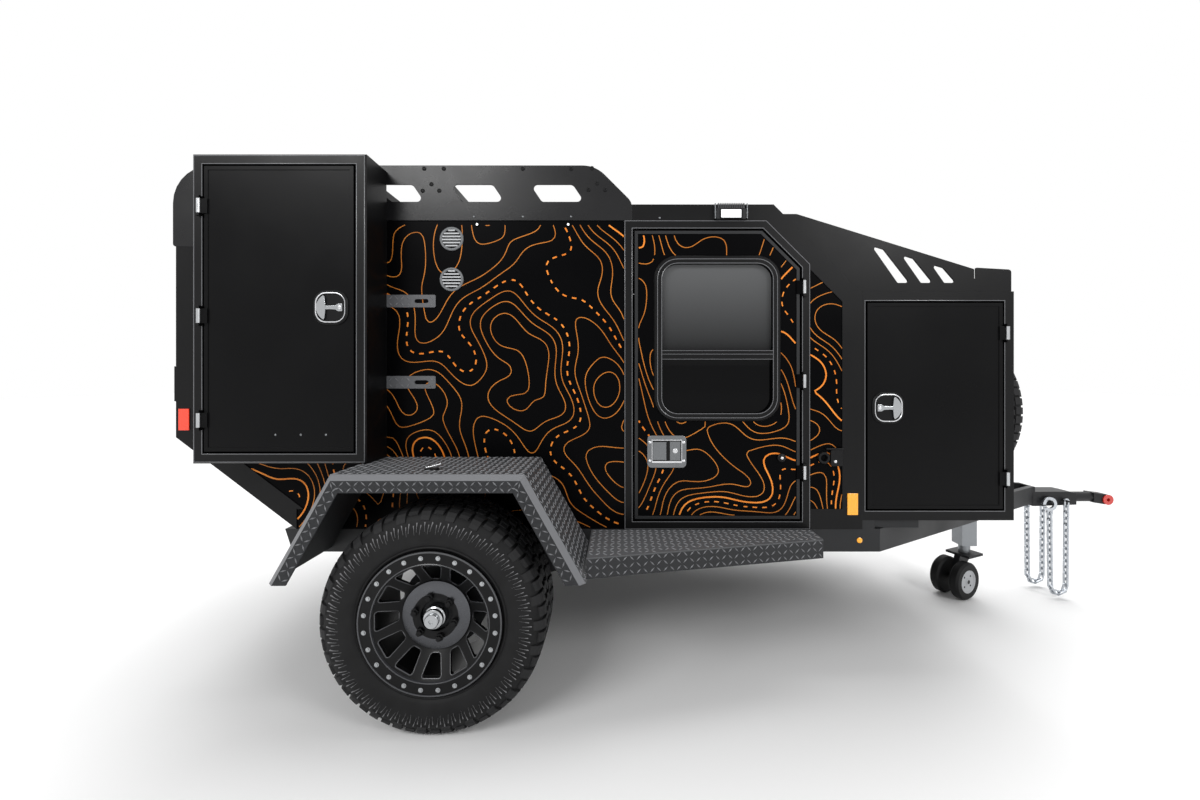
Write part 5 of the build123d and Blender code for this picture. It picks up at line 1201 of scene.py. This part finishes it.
def deckLoops():
    boxTop, boxFront = frontBoxHigh.z, frontBoxHigh.x
    roofFront, slopeZ = wallHigh.x - contour["slopeRun"], wallHigh.z - contour["slopeRun"]
    start = (roofFront + deck["run"], wallHigh.z - deck["fall"])
    nose, lip, tip = ((boxFront - deck[part][0], boxTop + deck[part][1]) for part in ("nose", "lip", "tip"))
    low, margin, slotW, slotR = nose[1] - deck["notch"], deck["margin"], deck["slotW"], deck["slotR"]
    startR, noseR, notchR, lipR, tipR = deck["rounds"]
    loops = [easedLoop([
        (roofFront + deck["fall"], start[1], 0), (*start, startR), (*nose, noseR), (nose[0], low, notchR),
        (lip[0], low, notchR), (*lip, lipR), (*tip, tipR), (tip[0], boxTop, 0), (wallHigh.x, boxTop, 0),
        (wallHigh.x, slopeZ, 0)], 4)]
    fall = (nose[1] - start[1]) / (nose[0] - start[0])
    for k in range(deck["slots"]):
        x, z0 = wallHigh.x + deck["start"] + k * deck["pitch"], boxTop + margin
        z1, z2 = (start[1] + (at - start[0]) * fall - margin for at in (x, x + slotW))
        lean = (z1 - z0) * deck["lean"]
        corners = ((x, z1), (x + lean, z0), (x + lean + slotW, z0), (x + slotW, z2))
        loops.append(easedLoop([(*corner, slotR) for corner in corners], 4))
    return loops


for side, sign in sides:
    cutPlate(f"{side}RackPlate", rackLoops(), sign, wallFace, wallFace + rack["t"], plateMat, ["rack_plates"])
    cutPlate(f"{side}DeckPlate", deckLoops(), sign, wallFace - deck["t"], wallFace, coatMat)
print("rack and deck plates cut")

# slotted strap tabs beside the side boxes and the doors' hold-back sockets, in place of the plain brackets
bracket = {
    "tabs": (0.546, 0.261), "tab": (195.0, 50.0, 4.0), "tabR": 5, "slot": (56.0, 16.0),
    "margin": 4.0, "clear": 6.0, "slotEase": 0.2,
    "catchRun": 94.0, "rise": 245.0, "socket": [(13, 0), (24, 0), (24, 10.5), (22, 14), (14.5, 14), (13, 12)],
    "bore": [(0, 0), (14, 0), (14, 1.5), (0, 1.5)],
    "block": (26.0, 74.0, 33.0), "blockR": (8, 3), "blockT": 13.0,
    "ledge": (22.0, 6.0, 16.0), "ledgeBack": 8.0,
    "pin": [(0, 0), (6, 0), (6, 2), (4, 3.5), (0, 4)], "pinPlace": (44.0, -14.0, 12.6),
}


def buildTabs(side, sign):
    length, height, t = bracket["tab"]
    slotW, slotH = bracket["slot"]
    x0, x1, margin, tabR = boxHigh.x, boxHigh.x + length, bracket["margin"], bracket["tabR"]
    slotX = x1 - slotW
    bars = []
    for k, share in enumerate(bracket["tabs"]):
        z = boxLow.z + share * (boxHigh.z - boxLow.z)
        z0, z1 = z - height / 2, z + height / 2
        outline = easedLoop([(x0, z0, 0), (x1, z0, tabR), (x1, z1, tabR), (x0, z1, 0)], 3)
        hole = roundedLoop(slotX - slotW / 2, z - slotH / 2, slotX + slotW / 2, z + slotH / 2,
                           slotH / 2 - bracket["slotEase"], 4)
        cutPlate(f"{side}StrapTab{k}", [outline, hole], sign, wallFace, wallFace + t, tabMat,
                 ["wall_brackets"])
        corner = Vector((x0 + margin, sign * (wallFace + t), z0))
        bars += barPlaces(corner, Vector((length - 2 * margin, 0, 0)), Vector((0, 0, height)),
                          Vector((0, sign, 0)),
                          lambda u, v: abs(u + x0 + margin - slotX) > slotW / 2 + bracket["clear"])
    scatter(f"{side}TabBars", bars, barShape, barHighlightMat)


def buildCatch(side, sign):
    cx, cz = doorHigh.x + bracket["catchRun"], doorLow.z + bracket["rise"]
    socket, bore = (onSide(bracket[part], 28, cx, cz, wallFace, sign) for part in ("socket", "bore"))
    makePiece(f"{side}CatchSocket", socket, nylonMat, smooth=True)
    makePiece(f"{side}CatchBore", bore, wrapMat)
    near, far, half = bracket["block"]
    x0, x1, z0, z1 = cx + near, cx + far, cz - half, cz + half
    wide, tight = bracket["blockR"]
    shape = easedLoop([(x0, z0, wide), (x1, z0, tight), (x1, z1, tight), (x0, z1, wide)], 4)
    body = slab(shape, sign, wallFace, wallFace + bracket["blockT"])
    more, ledgeH, ledgeT = bracket["ledge"]
    outline = rectLoop((x0 + x1) / 2 - bracket["ledgeBack"], z1 + ledgeH / 2, x1 - x0 + more, ledgeH)
    ledge = slab(outline, sign, wallFace, wallFace + ledgeT)
    makePiece(f"{side}CatchBlock", joined(body, ledge), nylonMat, bevelMm=1.5)
    dx, dz, proud = bracket["pinPlace"]
    pin = onSide(bracket["pin"], 14, cx + dx, cz + dz, wallFace + proud, sign)
    makePiece(f"{side}CatchPin", pin, steelMat, smooth=True)


# painted highlights: pale rolled strips round the box openings, the frames and the window stand for the light
# their edges catch; and the sills that close the gap under the front box
edgeLine = {
    "section": [(-1.3, -1.0), (-1.3, 0.5), (0.0, 1.0), (1.3, 0.5), (1.3, -1.0)], "gap": 9.5, "outer": 6.2,
    "frame": (10.0, 38.5), "frameProud": 3.0, "bead": [(0.8, 0.5), (0.8, 2.5), (13.2, 2.5), (13.2, 0.5)],
    "windowR": 95.0, "windowProud": 8.0, "window": (15.0, 31.4),
    "rail": (248.0, 268.0, 282.0), "railEnd": 1.5, "railT": 2.0, "railSunk": 1.0, "railProud": 0.6,
}
sill = {"start": 4.0, "length": 230.0, "drop": 33.0, "inset": 12.0, "t": 10.0}


def grownRect(low, high, by):
    x0, x1, z0, z1 = low.x - by, high.x + by, low.z - by, high.z + by
    return [(x0, z0), (x1, z0), (x1, z1), (x0, z1)]


def buildEdges(side, sign):
    section, gap, door = edgeLine["section"], edgeLine["gap"], f"{side}_cabin_door"
    frameTop = doorFace + edgeLine["frameProud"]
    loops = [(grownRect(leafLow, leafHigh, gap), boxFace),
             (grownRect(boxLow, boxHigh, -edgeLine["outer"]), boxFace),
             (grownRect(frontLeafLow, frontLeafHigh, gap), frontFace)]
    loops += [(insetLoop(doorOutline, -grow), frameTop) for grow in edgeLine["frame"]]
    # painted highlights: these strips, and those round the window below, are pale for the light on the edges
    lines = [sweptLoop(loop, section, sign, face) for loop, face in loops]
    makePiece(f"{side}EdgeLines", joined(*lines), highlightLineMat, smooth=True)
    makePiece(f"{side}DoorBead", sweptLoop(doorOutline, edgeLine["bead"], sign, doorFace), chassisMat, door)
    ring = roundedLoop(windowLow.x, windowLow.z, windowHigh.x, windowHigh.z, edgeLine["windowR"], 10)
    ringFace = doorFace + edgeLine["windowProud"]
    bands = [sweptLoop(insetLoop(ring, inset), section, sign, ringFace) for inset in edgeLine["window"]]
    middle = (windowLow.x + windowHigh.x) / 2
    width = windowHigh.x - windowLow.x - 2 * (edgeLine["window"][1] + edgeLine["railEnd"])
    back, front = ringFace - edgeLine["railSunk"], ringFace + edgeLine["railProud"]
    bands += [slab(rectLoop(middle, windowLow.z + rise, width, edgeLine["railT"]), sign, back, front)
              for rise in edgeLine["rail"]]
    makePiece(f"{side}WindowLines", joined(*bands), highlightLineMat, door, True)
    corner = Vector((frontBoxLow.x + sill["start"], 0, frontBoxLow.z - sill["drop"]))
    outline = grownRect(corner, corner + Vector((sill["length"], 0, sill["drop"])), 0)
    face = wallFace - sill["inset"]
    makePiece(f"{side}FrontBoxSill", slab(outline, sign, face - sill["t"], face), chassisMat, bevelMm=1.0)


for side, sign in sides:
    buildTabs(side, sign)
    buildCatch(side, sign)
    buildEdges(side, sign)
print("brackets, edges and sills made")

# studio: pale floor, two soft boxes, a broad light from above and a white world
studio = {
    "floorSize": 60.0, "floorDrop": 0.0015, "floorColour": "#F4F4F4", "floorRough": 0.9,
    "worldStrength": 0.44, "skyStrength": 2.65, "skySpreadDeg": 60.0, "skyFrom": (0.15, 0.45, 1.0),
    "boxes": [  # place, aimed at, width, height, watts
        ((-3.4, -4.6, 4.2), (-0.8, -0.8, 0.9), 3.0, 1.2, 130),
        ((2.8, -4.2, 3.4), (0.6, -0.6, 0.9), 1.6, 1.2, 70),
    ],
}


def buildFloor():
    half, drop = studio["floorSize"] / 2, studio["floorDrop"]
    corners = [(x * half, y * half, -drop) for x, y in ((-1, -1), (1, -1), (1, 1), (-1, 1))]
    floor = placed("Floor", makeShape("Floor", (corners, [(0, 1, 2, 3)])))
    floor.data.materials.append(startMaterial("PaperFloor", studio["floorColour"], studio["floorRough"])[0])


# world: white to the camera, in glass and in gloss, and softer where it lights the trailer
def buildWorld():
    world = bpy.data.worlds.new("StudioWorld")
    bpy.context.scene.world = world
    world.use_nodes = True
    tree = world.node_tree
    path = addNode(tree, "ShaderNodeLightPath")
    direct = addNode(tree, "ShaderNodeMath", {"operation": "MAXIMUM"},
                     {0: path.outputs["Is Camera Ray"], 1: path.outputs["Is Transmission Ray"]})
    seen = addNode(tree, "ShaderNodeMath", {"operation": "MAXIMUM"},
                   {0: direct.outputs[0], 1: path.outputs["Is Glossy Ray"]})
    strength = addNode(tree, "ShaderNodeMapRange", {1: 0.0, 2: 1.0, 3: studio["worldStrength"], 4: 1.0},
                       {0: seen.outputs[0]})
    tree.links.new(strength.outputs["Result"], tree.nodes["Background"].inputs["Strength"])
    tree.nodes["Background"].inputs["Color"].default_value = (1, 1, 1, 1)


def buildLights():
    sky = bpy.data.lights.new("OverheadSky", "SUN")
    sky.energy, sky.angle = studio["skyStrength"], math.radians(studio["skySpreadDeg"])
    placed("OverheadSky", sky).rotation_euler = Vector(studio["skyFrom"]).to_track_quat("Z", "Y").to_euler()
    for i, (place, aim, width, height, watts) in enumerate(studio["boxes"]):
        light = bpy.data.lights.new(f"SoftBox{i}", "AREA")
        light.shape = "RECTANGLE"
        light.size, light.size_y, light.energy = width, height, watts
        lamp = placed(f"SoftBox{i}", light)
        lamp.location = place
        lamp.rotation_euler = (Vector(aim) - Vector(place)).to_track_quat("-Z", "Y").to_euler()


# camera: level, square to the trailer's side, at the photograph's distance and shift
cameraView = {
    "place": (-0.475, -2.642, 1.215), "lens": 14.13, "sensor": 36.0, "shift": (-0.0167, -0.0208),
    "clip": (0.05, 200),
}


def buildCamera():
    data = bpy.data.cameras.new("PhotoCamera")
    data.lens, data.sensor_width = cameraView["lens"], cameraView["sensor"]
    data.shift_x, data.shift_y = cameraView["shift"]
    data.clip_start, data.clip_end = cameraView["clip"]
    camera = placed("PhotoCamera", data)
    camera.location = cameraView["place"]
    camera.rotation_euler = (math.radians(90), 0, 0)
    bpy.context.scene.camera = camera


buildFloor()
buildWorld()
buildLights()
buildCamera()
bpy.context.scene.view_settings.view_transform = "Standard"
print("studio and camera ready")
